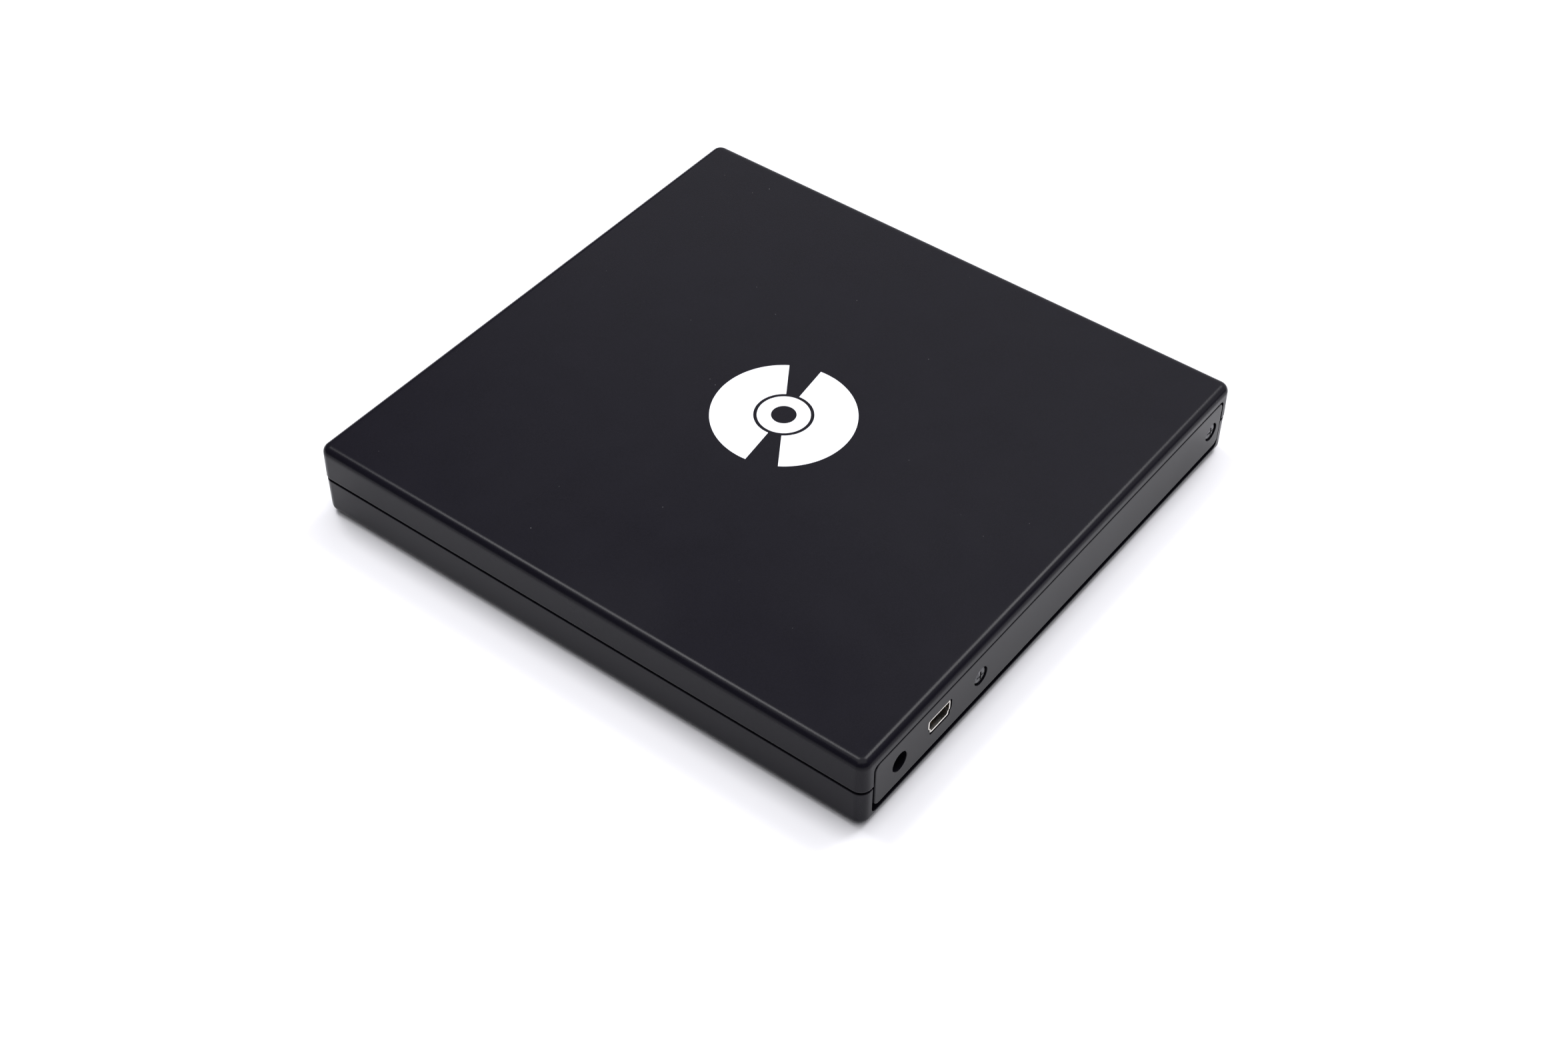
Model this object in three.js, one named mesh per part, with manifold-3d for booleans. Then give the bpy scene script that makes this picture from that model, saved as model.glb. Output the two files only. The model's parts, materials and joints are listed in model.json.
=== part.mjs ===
// A slim portable optical drive: a two-part moulded case with a screwed back panel,
// holding a slimline tray-loading drive and the small board that adapts it to a USB cable.
//
// Units are millimetres. +Z is up, +Y points to the back panel with the sockets, and -Y is
// the side that the tray comes out of. The origin is the middle of the footprint, on the
// surface that the rubber feet stand on. Everything is drawn with the tray shut.

import * as THREE from "three";
import { mergeVertices } from "three/addons/utils/BufferGeometryUtils.js";
import Module from "manifold-3d";

const wasm = await Module();
wasm.setup();

// ---- driving dimensions -----------------------------------------------------------------

const CASE = { width: 143, depth: 150.2, top: 20, bottom: 0.7, wall: 2, corner: 2.7 };
const TOP_FILLET = 2;
const BOTTOM_FILLET = 1.6;
const SEAM = { z: 10.95, gap: 0.6, lipHeight: 1.2, lipOuter: 1.1, lipInner: 1.9, clearance: 0.3 };
const FOOT = { radius: 4.5, x: 58, y: 62, sunk: 0.45, clearance: 0.3 };

const PANEL = { halfWidth: 67.6, bottom: 4.35, top: 16.8, thickness: 1.8 };
const PANEL_OPENING = { halfWidth: 68.1, bottom: 2.5, top: 17.06 };
const FRONT_OPENING = { halfWidth: 64.35, bottom: 3.8, top: 17.1 };
const PANEL_SCREW = { xs: [30.1, -63.7], z: 10.25, recess: 2.3, head: 2.05, shank: 1.1 };
const JACK = { x: 59.1, z: 10.44, hole: 2.41, bore: 1.75, pin: 0.55 };
const USB = { x: 45, top: 12.95, shoulder: 10.45, bottom: 8.9, half: 3.9, lowHalf: 3.3, skin: 0.35 };
const BOARD = { x0: 24, x1: 66.5, y0: 56.6, y1: 71.2, z: 7, thickness: 1.5 };

const DRIVE = { halfWidth: 64, bottom: 4.1, top: 16.8, front: -71.5, back: 54.4, sheet: 0.6 };
const BEZEL = { halfWidth: 64, thickness: 2.6, corner: 0.8 };
const BUTTON = { x: 42.5, z: 8, halfWidth: 5.8, halfHeight: 1.4, clearance: 0.3 };
const LIGHT = { x: 32.5, z: 8, halfWidth: 1.5, halfHeight: 0.5 };
const RAIL = { front: -68, back: 48, z0: 6.7, z1: 9.1 };

const TRAY = { halfWidth: 62, front: -72.2, back: 50, underside: 10.6, floor: 12.2, rim: 14.6 };
const WELL = { y: -10, radius: 60.8, hub: 17.2 };
const TRAVERSE_TURN = -Math.PI / 4;
const LENS_REST = 22.5;
const SLED = { x0: 15.4, x1: 28.4, y0: -9.5, y1: 13.2, z0: 6.7, z1: 9.6 };
const ROD = { ys: [10.5, -7.5], z: 8, radius: 0.8, x0: 13.1, x1: 65.7 };
const SCREW = { y: -12, z: 8, radius: 1, pitch: 3, x0: 13.1, x1: 60.2 };
const LATCH_PIVOT = { x: -50, y: -46 };
const LATCH_POST = { x: -54.5, y: -60, radius: 1 };
const KICK = { x: -44, z: 7.8, tip: 36, collar: 48.3 };

// Fixed pieces of the drive and of the case.
const LID_SCREW = { xs: [-50, 12], z: 14.2, head: 1.7, shank: 0.8, hole: 1.1 };
const RIB = { xs: [-48, 0, 48], halfWidth: 1, front: -66, back: 52 };
const BOSS = { halfWidth: 3, front: 63, back: 71.2 };
const BOARD_PLUG = { x0: 30, x1: 49, y0: 54.9, y1: 60.5, top: 12.2 };
const DRIVE_PLUG = { x0: 30, x1: 49, y0: 50.4, y1: 54.6, z0: 6.4, z1: 12.4 };
const MAIN_BOARD = { x0: -38, x1: 57, y0: 20, y1: 52, z0: 5.2, z1: 6 };
const RIBBON = { x0: -36, x1: -22, start: -42, fold: 19.3, end: 23, low: 4.8, high: 6.45, thickness: 0.14 };
const KICK_HOUSING = { halfWidth: 3.6, front: 39, back: 53.2, z0: 5, z1: 10.3, bore: 1.9, nose: 1.2 };
const SPRING = { radius: 1.25, turns: 5, length: 2.4, wire: 0.17 };

// Pieces that ride on the tray.
const SMALL_WELL = { radius: 40.5, depth: 0.5 };
const SCOOP = { x: -52, y: -66, radius: 7 };
const RUNNER = { wall0: 58.2, wall1: 59.3, tongue: 60.4, z0: 7.65, z1: 8.15, bottom: 5.8 };
const PIN_HOLE = { x: 54, z: 8, radius: 0.7 };
const SHIELD = { x0: -49.5, x1: 57.7, y0: -71.5, y1: 12, z0: 5.15, z1: 5.5 };
const FRONT_BOARD = { x0: 30, x1: 57, y0: -70, y1: -69.2, z0: 5.8, z1: 10.3 };
const LEVER = { z0: 6.5, z1: 7.7, eye: 2.3, bore: 1.3, reach: -58 };
const SOLENOID = { x0: -48.2, x1: -38, y0: -60, y1: -50.5, z0: 5.9, z1: 10 };
const BED = { z0: 5.8, z1: 6.3, radius: 18, reach: 66.5, halfWidth: 14 };
const EAR = { near: 12.8, far: 64, thickness: 2, halfWidth: 1.8, top: 9.5 };
const PAD = { inner: 10.5, outer: 15, z0: 13.02, z1: 13.3 };
const CLAWS = 3;

const FULL_TURN = 2 * Math.PI;

// ---- materials --------------------------------------------------------------------------

const blackShell = { color: 0x252429, roughness: 0.5, metalness: 0 };
const blackGloss = { color: 0x1c1c20, roughness: 0.3, metalness: 0 };
const darkPlastic = { color: 0x2e2e32, roughness: 0.6, metalness: 0 };
const rubber = { color: 0x1a1a1a, roughness: 0.9, metalness: 0 };
const steel = { color: 0xb9bcc0, roughness: 0.35, metalness: 1 };
const brightNickel = { color: 0xdcdad6, roughness: 0.2, metalness: 1 };
const blackSteel = { color: 0x1d1d1f, roughness: 0.4, metalness: 0.8 };
const boardGreen = { color: 0x1f5a38, roughness: 0.5, metalness: 0 };
const chipBlack = { color: 0x18181a, roughness: 0.55, metalness: 0 };
const ribbonTan = { color: 0xb98a4a, roughness: 0.5, metalness: 0 };
const lensBlue = { color: 0x8fa6d8, roughness: 0.05, metalness: 0 };
const lightGreen = { color: 0xa8d8a0, roughness: 0.3, metalness: 0 };
const whitePlastic = { color: 0xd9d9d2, roughness: 0.5, metalness: 0 };

// ---- helpers ----------------------------------------------------------------------------

// A closed geometry as a solid that can be joined and cut.
function solidOf(geometry) {
  const bare = geometry.index ? geometry.toNonIndexed() : geometry.clone();
  bare.deleteAttribute("normal");
  bare.deleteAttribute("uv");
  const merged = mergeVertices(bare, 1e-4);
  return new wasm.Manifold(
    new wasm.Mesh({
      numProp: 3,
      vertProperties: new Float32Array(merged.attributes.position.array),
      triVerts: new Uint32Array(merged.index.array),
    }),
  );
}

function geometryOf(solid) {
  const made = solid.getMesh();
  const geometry = new THREE.BufferGeometry();
  geometry.setAttribute("position", new THREE.BufferAttribute(made.vertProperties, 3));
  geometry.setIndex(new THREE.BufferAttribute(made.triVerts, 1));
  geometry.computeVertexNormals();
  return geometry;
}

// base with everything in others added, taken away, or kept in common.
function join(base, ...others) {
  return geometryOf(others.reduce((sum, other) => sum.add(solidOf(other)), solidOf(base)));
}
function cut(base, ...others) {
  return geometryOf(others.reduce((rest, other) => rest.subtract(solidOf(other)), solidOf(base)));
}
function common(base, other) {
  return geometryOf(solidOf(base).intersect(solidOf(other)));
}

// A box between two corners.
function block(x0, x1, y0, y1, z0, z1) {
  const box = new THREE.BoxGeometry(x1 - x0, y1 - y0, z1 - z0);
  return box.translate((x0 + x1) / 2, (y0 + y1) / 2, (z0 + z1) / 2);
}

// A rectangle with round corners, between two corners of the drawing plane.
function roundedRectangle(x0, x1, y0, y1, radius) {
  const shape = new THREE.Shape();
  shape.moveTo(x0 + radius, y0);
  shape.lineTo(x1 - radius, y0);
  shape.absarc(x1 - radius, y0 + radius, radius, -Math.PI / 2, 0);
  shape.lineTo(x1, y1 - radius);
  shape.absarc(x1 - radius, y1 - radius, radius, 0, Math.PI / 2);
  shape.lineTo(x0 + radius, y1);
  shape.absarc(x0 + radius, y1 - radius, radius, Math.PI / 2, Math.PI);
  shape.lineTo(x0, y0 + radius);
  shape.absarc(x0 + radius, y0 + radius, radius, Math.PI, 1.5 * Math.PI);
  return shape;
}

function outline(points) {
  return new THREE.Shape(points.map(([x, y]) => new THREE.Vector2(x, y)));
}

function hole(shape, points) {
  shape.holes.push(new THREE.Path(points.map(([x, y]) => new THREE.Vector2(x, y))));
  return shape;
}

// A flat outline raised from z0 to z1.
function raised(shape, z0, z1, curveSegments = 8) {
  const options = { depth: z1 - z0, bevelEnabled: false, curveSegments };
  return new THREE.ExtrudeGeometry(shape, options).translate(0, 0, z0);
}

// An outline drawn in X and Z, carried from y0 to y1.
function carriedAlongY(shape, y0, y1, curveSegments = 8) {
  const options = { depth: y1 - y0, bevelEnabled: false, curveSegments };
  return new THREE.ExtrudeGeometry(shape, options).rotateX(Math.PI / 2).translate(0, y1, 0);
}

// An outline drawn in Y and Z, carried from x0 to x1.
function carriedAlongX(shape, x0, x1) {
  const options = { depth: x1 - x0, bevelEnabled: false };
  const made = new THREE.ExtrudeGeometry(shape, options);
  return made.rotateX(Math.PI / 2).rotateZ(Math.PI / 2).translate(x0, 0, 0);
}

// A slab whose long edges are rounded over at both faces.
function filletedSlab(z0, z1, fillet) {
  const x = CASE.width / 2;
  const y = CASE.depth / 2;
  const shape = roundedRectangle(-x, x, -y, y, CASE.corner);
  const options = {
    depth: z1 - z0 - 2 * fillet,
    bevelThickness: fillet,
    bevelSize: fillet,
    bevelOffset: -fillet,
    bevelSegments: 4,
    curveSegments: 4,
  };
  return new THREE.ExtrudeGeometry(shape, options).translate(0, 0, z0 + fillet);
}

// Round bars along each axis.
function rodAlongZ(x, y, z0, z1, radius, sides = 20) {
  const bar = new THREE.CylinderGeometry(radius, radius, z1 - z0, sides);
  return bar.rotateX(Math.PI / 2).translate(x, y, (z0 + z1) / 2);
}
function rodAlongY(x, z, y0, y1, radius, sides = 20) {
  const bar = new THREE.CylinderGeometry(radius, radius, y1 - y0, sides);
  return bar.translate(x, (y0 + y1) / 2, z);
}
function rodAlongX(y, z, x0, x1, radius, sides = 20) {
  const bar = new THREE.CylinderGeometry(radius, radius, x1 - x0, sides);
  return bar.rotateZ(Math.PI / 2).translate((x0 + x1) / 2, y, z);
}

// A profile of [radius, height] points, listed upwards, turned about the Z axis.
function turned(profile, sides = 36) {
  const points = profile.map(([r, z]) => new THREE.Vector2(r, z));
  return new THREE.LatheGeometry(points, sides).rotateX(Math.PI / 2);
}

// A wire of round section wound along Y.
class Helix extends THREE.Curve {
  constructor(radius, turns, length) {
    super();
    this.radius = radius;
    this.turns = turns;
    this.length = length;
  }
  getPoint(t, target = new THREE.Vector3()) {
    const angle = t * this.turns * FULL_TURN;
    return target.set(this.radius * Math.cos(angle), t * this.length, this.radius * Math.sin(angle));
  }
}

// Adds a named mesh with its own material to a group.
function add(group, name, geometry, finish) {
  const mesh = new THREE.Mesh(geometry, new THREE.MeshStandardMaterial(finish));
  mesh.name = name;
  group.add(mesh);
  return mesh;
}

// ---- case -------------------------------------------------------------------------------

const panelOutline = (p) => roundedRectangle(-p.halfWidth, p.halfWidth, p.bottom, p.top, 1.4);
const backOfCase = CASE.depth / 2;

// The openings in the front and back walls, as one list of cutters.
function wallOpenings() {
  const back = carriedAlongY(panelOutline(PANEL_OPENING), backOfCase - 4, backOfCase + 1);
  const f = FRONT_OPENING;
  const front = block(-f.halfWidth, f.halfWidth, -backOfCase - 1, -backOfCase + 4, f.bottom, f.top);
  return [back, front];
}

// An upright ring that follows the case walls, between two depths below the outer surface.
function wallRing(outer, inner, z0, z1) {
  const x = CASE.width / 2;
  const y = CASE.depth / 2;
  const ring = roundedRectangle(-x + outer, x - outer, -y + outer, y - outer, CASE.corner - outer);
  const space = block(-x + inner, x - inner, -y + inner, y - inner, z0 - 1, z1 + 1);
  return cut(raised(ring, z0, z1, 4), space);
}

function topCover() {
  const x = CASE.width / 2 - CASE.wall;
  const y = CASE.depth / 2 - CASE.wall;
  const seam = SEAM.z + SEAM.gap / 2;
  const above = block(-90, 90, -90, 90, seam, CASE.top + 1);
  const cover = common(filletedSlab(0, CASE.top, TOP_FILLET), above);
  const space = block(-x, x, -y, y, 0, CASE.top - CASE.wall);
  const rebateDepth = SEAM.lipOuter - SEAM.clearance;
  const rebateTop = SEAM.z + SEAM.lipHeight + SEAM.clearance;
  const rebate = block(
    -CASE.width / 2 + rebateDepth,
    CASE.width / 2 - rebateDepth,
    -CASE.depth / 2 + rebateDepth,
    CASE.depth / 2 - rebateDepth,
    seam - 1,
    rebateTop,
  );
  return cut(cover, space, rebate, ...wallOpenings());
}

function bottomCover() {
  const x = CASE.width / 2 - CASE.wall;
  const y = CASE.depth / 2 - CASE.wall;
  const seam = SEAM.z - SEAM.gap / 2;
  const below = block(-90, 90, -90, 90, 0, seam);
  const tub = common(filletedSlab(CASE.bottom, CASE.bottom + 18, BOTTOM_FILLET), below);
  const floor = CASE.bottom + CASE.wall;
  const lip = wallRing(SEAM.lipOuter, SEAM.lipInner, seam - 2, SEAM.z + SEAM.lipHeight);
  const shell = join(cut(tub, block(-x, x, -y, y, floor, CASE.top)), lip);
  const ribTop = DRIVE.bottom - 0.3;
  const ribs = RIB.xs.map((at) =>
    block(at - RIB.halfWidth, at + RIB.halfWidth, RIB.front, RIB.back, floor - 0.5, ribTop),
  );
  const bossTop = PANEL_SCREW.z + BOSS.halfWidth;
  const bosses = PANEL_SCREW.xs.map((at) =>
    block(at - BOSS.halfWidth, at + BOSS.halfWidth, BOSS.front, BOSS.back, floor - 0.5, bossTop),
  );
  const boardPosts = [block(50, 54, 60, 64, floor - 0.5, BOARD.z - 0.3)];
  const pilots = PANEL_SCREW.xs.map((at) => rodAlongY(at, PANEL_SCREW.z, 64, 72, 1.4));
  const feet = footPlaces().map(([fx, fy]) =>
    rodAlongZ(fx, fy, 0, CASE.bottom + FOOT.sunk + 0.05, FOOT.radius + FOOT.clearance, 32),
  );
  const built = join(shell, ...ribs, ...bosses, ...boardPosts);
  return cut(built, ...pilots, ...feet, ...wallOpenings());
}

function footPlaces() {
  return [-1, 1].flatMap((sx) => [-1, 1].map((sy) => [sx * FOOT.x, sy * FOOT.y]));
}

// The outline of a small trapezoid socket with stepped lower corners, grown by a margin.
function usbOutline(margin) {
  const u = USB;
  const wide = u.half + margin;
  const narrow = u.lowHalf + margin;
  const top = u.top + margin;
  const bottom = u.bottom - margin;
  return [
    [u.x - narrow, bottom],
    [u.x + narrow, bottom],
    [u.x + narrow, u.shoulder - 0.5],
    [u.x + wide, u.shoulder],
    [u.x + wide, top],
    [u.x - wide, top],
    [u.x - wide, u.shoulder],
    [u.x - narrow, u.shoulder - 0.5],
  ];
}

function backPanel() {
  const face = backOfCase;
  const inner = face - PANEL.thickness;
  const plate = carriedAlongY(panelOutline(PANEL), inner - 0.2, face);
  const flange = block(-68.9, 68.9, inner - 1.7, inner - 0.5, 3.2, 17.7);
  const neck = block(-67, 67, inner - 0.7, inner, 5, 16.2);
  const cutters = [
    rodAlongY(JACK.x, JACK.z, inner - 3, face + 1, JACK.hole, 32),
    carriedAlongY(outline(usbOutline(0.3)), inner - 3, face + 1),
  ];
  for (const x of PANEL_SCREW.xs) {
    cutters.push(rodAlongY(x, PANEL_SCREW.z, face - 0.9, face + 1, PANEL_SCREW.recess, 32));
    cutters.push(rodAlongY(x, PANEL_SCREW.z, inner - 3, face, PANEL_SCREW.shank + 0.3));
  }
  return cut(join(plate, flange, neck), ...cutters);
}

// A pan-head screw pointing into the case, with a cross slot in its head.
function panelScrew(x) {
  const s = PANEL_SCREW;
  const face = backOfCase;
  const headBack = face - 0.85;
  const head = rodAlongY(x, s.z, headBack, face - 0.1, s.head, 32);
  const shank = rodAlongY(x, s.z, 66, headBack + 0.2, s.shank, 20);
  const slots = [
    block(x - 1.3, x + 1.3, face - 0.6, face, s.z - 0.25, s.z + 0.25),
    block(x - 0.25, x + 0.25, face - 0.6, face, s.z - 1.3, s.z + 1.3),
  ];
  return cut(join(head, shank), ...slots);
}

function buildCase(root) {
  add(root, "top_cover", topCover(), blackShell);
  add(root, "bottom_cover", bottomCover(), blackShell);
  add(root, "back_panel", backPanel(), blackShell);
  PANEL_SCREW.xs.forEach((x, i) => add(root, `back_screw_${i + 1}`, panelScrew(x), blackSteel));
  const footTop = CASE.bottom + FOOT.sunk;
  footPlaces().forEach(([x, y], i) =>
    add(root, `foot_${i + 1}`, rodAlongZ(x, y, 0, footTop, FOOT.radius, 32), rubber),
  );
}

// ---- adapter board and sockets ----------------------------------------------------------

function usbShell() {
  const tube = carriedAlongY(hole(outline(usbOutline(0)), usbOutline(-USB.skin)), 66, 75);
  return join(tube, carriedAlongY(outline(usbOutline(-0.1)), 66, 66.5));
}

function usbTongue() {
  const base = carriedAlongY(outline(usbOutline(-USB.skin - 0.05)), 66.55, 68.5);
  return join(base, block(USB.x - 2.4, USB.x + 2.4, 68, 74, 10.5, 11.4));
}

function powerJack() {
  const body = block(JACK.x - 3.2, JACK.x + 3.2, 61.5, 71.4, BOARD.z + BOARD.thickness, 13.4);
  return cut(body, rodAlongY(JACK.x, JACK.z, 63, 72, JACK.bore));
}

function buildAdapter(root) {
  const b = BOARD;
  const top = b.z + b.thickness;
  const notch = block(26, 34.2, 62.6, 72, b.z - 1, top + 1);
  add(root, "adapter_board", cut(block(b.x0, b.x1, b.y0, b.y1, b.z, top), notch), boardGreen);
  add(root, "bridge_chip", block(50.5, 58.5, 57.2, 61.2, top, top + 1), chipBlack);
  add(root, "crystal_can", block(35.5, 38.5, 62.5, 71, top, top + 2.2), brightNickel);
  [61, 64.4].forEach((x, i) =>
    add(root, `filter_capacitor_${i + 1}`, rodAlongZ(x, 59, top, top + 3.2, 1.25), steel),
  );
  const plug = BOARD_PLUG;
  const plugBlock = block(plug.x0, plug.x1, plug.y0, plug.y1, top, plug.top);
  add(root, "board_connector", plugBlock, darkPlastic);
  add(root, "usb_socket_shell", usbShell(), brightNickel);
  add(root, "usb_socket_tongue", usbTongue(), chipBlack);
  add(root, "power_jack", powerJack(), chipBlack);
  add(root, "power_jack_pin", rodAlongY(JACK.x, JACK.z, 63.05, 70.8, JACK.pin), brightNickel);
}

// ---- fixed half of the drive ------------------------------------------------------------

function drivePan() {
  const d = DRIVE;
  const side = d.halfWidth - 0.8;
  const floorTop = d.bottom + d.sheet;
  const wallTop = 15.4;
  const tub = block(-side, side, d.front, d.back, d.bottom, wallTop);
  const inside = block(
    -side + d.sheet,
    side - d.sheet,
    d.front - 1,
    d.back - d.sheet,
    floorTop,
    wallTop + 1,
  );
  const plugGap = block(29, 50, d.back - 2, d.back + 1, 6, 12.8);
  const screwHoles = LID_SCREW.xs.map((x) =>
    rodAlongY(x, LID_SCREW.z, d.back - 2, d.back + 1, LID_SCREW.hole),
  );
  const post = rodAlongZ(LATCH_POST.x, LATCH_POST.y, floorTop - 0.3, 8.6, LATCH_POST.radius);
  const boardPosts = [-34, 53].map((x) => block(x - 1.5, x + 1.5, 48, 51, floorTop - 0.2, 5.15));
  return join(cut(tub, inside, plugGap, ...screwHoles), post, ...boardPosts);
}

function driveLid() {
  const d = DRIVE;
  const back = d.back + 0.8;
  const sheetUnder = d.top - d.sheet;
  const hood = block(-d.halfWidth, d.halfWidth, d.front, back, 10, d.top);
  const inside = block(-d.halfWidth + 0.5, d.halfWidth - 0.5, d.front - 1, back - 0.5, 9, sheetUnder);
  const plugGap = block(27, 52, back - 2, back + 1, 9, 13);
  const screwHoles = LID_SCREW.xs.map((x) =>
    rodAlongY(x, LID_SCREW.z, back - 2, back + 1, LID_SCREW.hole),
  );
  const lightening = raised(roundedRectangle(-30, 30, 30, 46, 6), sheetUnder + 0.3, d.top + 1);
  return cut(hood, inside, plugGap, ...screwHoles, lightening);
}

function lidScrew(x) {
  const s = LID_SCREW;
  const back = DRIVE.back + 0.8;
  const head = rodAlongY(x, s.z, back, back + 0.7, s.head);
  const shank = rodAlongY(x, s.z, DRIVE.back - 1.5, back + 0.2, s.shank, 16);
  return cut(join(head, shank), block(x - 1, x + 1, back + 0.4, back + 1, s.z - 0.2, s.z + 0.2));
}

// A fixed channel, open towards the middle of the drive, that a rail slides in.
function railGuide(side) {
  const section = outline([
    [61.4, 5],
    [62.45, 5],
    [62.45, 10.2],
    [61.4, 10.2],
    [61.4, 9.4],
    [61.95, 9.4],
    [61.95, 6.4],
    [61.4, 6.4],
  ]);
  const guide = carriedAlongY(section, -68, 50);
  return side > 0 ? guide : guide.rotateZ(Math.PI).translate(0, -18, 0);
}

// The middle member of a slide: it runs in the guide, and the tray's runner runs in its groove.
function rail(side) {
  const section = outline([
    [59.6, RAIL.z0],
    [61.65, RAIL.z0],
    [61.65, RAIL.z1],
    [59.6, RAIL.z1],
    [59.6, 8.4],
    [60.7, 8.4],
    [60.7, 7.4],
    [59.6, 7.4],
  ]);
  const made = carriedAlongY(section, RAIL.front, RAIL.back);
  return side > 0 ? made : made.rotateZ(Math.PI).translate(0, RAIL.front + RAIL.back, 0);
}

// A ribbon that lies along the pan and folds up over the front edge of the main board.
function flexCable() {
  const r = RIBBON;
  const t = r.thickness;
  const path = outline([
    [r.start, r.low],
    [r.fold, r.low],
    [r.fold, r.high],
    [r.end, r.high],
    [r.end, r.high + t],
    [r.fold - t, r.high + t],
    [r.fold - t, r.low + t],
    [r.start, r.low + t],
  ]);
  return carriedAlongX(path, r.x0, r.x1);
}

function kickHousing() {
  const h = KICK_HOUSING;
  const body = block(KICK.x - h.halfWidth, KICK.x + h.halfWidth, h.front, h.back, h.z0, h.z1);
  const bore = rodAlongY(KICK.x, KICK.z, h.front + 1, h.back - 0.9, h.bore);
  const nose = rodAlongY(KICK.x, KICK.z, h.front - 1, h.front + 2, h.nose);
  return cut(body, bore, nose);
}

function kickPlunger() {
  const rod = rodAlongY(KICK.x, KICK.z, KICK.tip, KICK.collar + 0.3, 0.9);
  const collar = rodAlongY(KICK.x, KICK.z, KICK.collar, KICK.collar + 1, 1.6);
  const tail = rodAlongY(KICK.x, KICK.z, KICK.collar + 0.8, KICK.collar + 3.4, 0.6);
  return join(rod, collar, tail);
}

// A closed wire coil squeezed between the plunger's collar and the housing's end.
function kickSpring() {
  const path = new Helix(SPRING.radius, SPRING.turns, SPRING.length);
  const section = new THREE.Shape().absarc(0, 0, SPRING.wire, 0, FULL_TURN);
  const options = { extrudePath: path, steps: 50, curveSegments: 3, bevelEnabled: false };
  const coil = new THREE.ExtrudeGeometry(section, options);
  return coil.translate(KICK.x, KICK.collar + 1.25, KICK.z);
}

function buildDrive(root) {
  add(root, "drive_pan", drivePan(), steel);
  add(root, "drive_lid", driveLid(), steel);
  LID_SCREW.xs.forEach((x, i) => add(root, `lid_screw_${i + 1}`, lidScrew(x), blackSteel));
  add(root, "left_rail_guide", railGuide(-1), darkPlastic);
  add(root, "right_rail_guide", railGuide(1), darkPlastic);
  const m = MAIN_BOARD;
  const p = DRIVE_PLUG;
  add(root, "main_board", block(m.x0, m.x1, m.y0, m.y1, m.z0, m.z1), boardGreen);
  add(root, "main_processor", block(-8, 8, 28, 44, m.z1, m.z1 + 1.2), chipBlack);
  add(root, "servo_chip", block(20, 29, 30, 39, m.z1, m.z1 + 1), chipBlack);
  add(root, "drive_connector", block(p.x0, p.x1, p.y0, p.y1, p.z0, p.z1), darkPlastic);
  add(root, "flex_cable", flexCable(), ribbonTan);
  add(root, "kick_housing", kickHousing(), darkPlastic);
  add(root, "kick_plunger", kickPlunger(), steel);
  add(root, "kick_spring", kickSpring(), steel);
  add(root, "left_rail", rail(-1), steel);
  add(root, "right_rail", rail(1), steel);
}

// ---- tray -------------------------------------------------------------------------------

// A shape drawn in the turned frame of the pickup's travel, put in the tray's place.
function turnedWithTraverse(geometry) {
  return geometry.rotateZ(TRAVERSE_TURN).translate(0, WELL.y, 0);
}

function discTray() {
  const t = TRAY;
  const plan = roundedRectangle(-t.halfWidth, t.halfWidth, t.front, t.back, 1.5);
  const plate = raised(plan, t.underside, t.rim);
  const well = rodAlongZ(0, WELL.y, t.floor, t.rim + 1, WELL.radius, 96);
  const stepDown = t.floor - SMALL_WELL.depth;
  const smallWell = rodAlongZ(0, WELL.y, stepDown, t.rim, SMALL_WELL.radius, 72);
  const hub = rodAlongZ(0, WELL.y, t.underside - 1, t.rim, WELL.hub, 48);
  const windowPlan = roundedRectangle(0, 64, -8.5, 8.5, 2);
  const lensWindow = turnedWithTraverse(raised(windowPlan, t.underside - 1, t.floor + 0.01));
  const fingerScoop = rodAlongZ(SCOOP.x, SCOOP.y, t.floor, t.rim + 1, SCOOP.radius, 32);
  const r = RUNNER;
  const runners = [-1, 1].flatMap((side) => {
    const wall = block(r.wall0, r.wall1, RAIL.front, RAIL.back, r.bottom, t.underside + 0.5);
    const tongue = block(r.wall1 - 0.3, r.tongue, RAIL.front, RAIL.back, r.z0, r.z1);
    const both = [wall, tongue];
    return side > 0 ? both : both.map((g) => g.rotateZ(Math.PI).translate(0, RAIL.front + RAIL.back, 0));
  });
  const pivot = rodAlongZ(LATCH_PIVOT.x, LATCH_PIVOT.y, 6, t.underside + 0.5, 1);
  const lug = block(KICK.x - 2, KICK.x + 2, 34.2, 35.7, 6.6, t.underside + 0.5);
  const built = join(cut(plate, well, smallWell, hub, lensWindow, fingerScoop), ...runners);
  return join(built, pivot, lug);
}

function trayBezel() {
  const x = BEZEL.halfWidth;
  const front = -backOfCase;
  const back = front + BEZEL.thickness;
  const face = roundedRectangle(-x, x, DRIVE.bottom, DRIVE.top, BEZEL.corner);
  const b = BUTTON;
  const gap = b.clearance;
  const wide = b.halfWidth + gap;
  const high = b.halfHeight + gap;
  const openings = [
    block(b.x - wide, b.x + wide, front - 1, back + 1, b.z - high, b.z + high),
    block(
      LIGHT.x - LIGHT.halfWidth - 0.1,
      LIGHT.x + LIGHT.halfWidth + 0.1,
      front - 1,
      back + 1,
      LIGHT.z - LIGHT.halfHeight - 0.1,
      LIGHT.z + LIGHT.halfHeight + 0.1,
    ),
    rodAlongY(PIN_HOLE.x, PIN_HOLE.z, front - 1, back + 1, PIN_HOLE.radius, 16),
  ];
  return cut(carriedAlongY(face, front, back, 4), ...openings);
}

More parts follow.
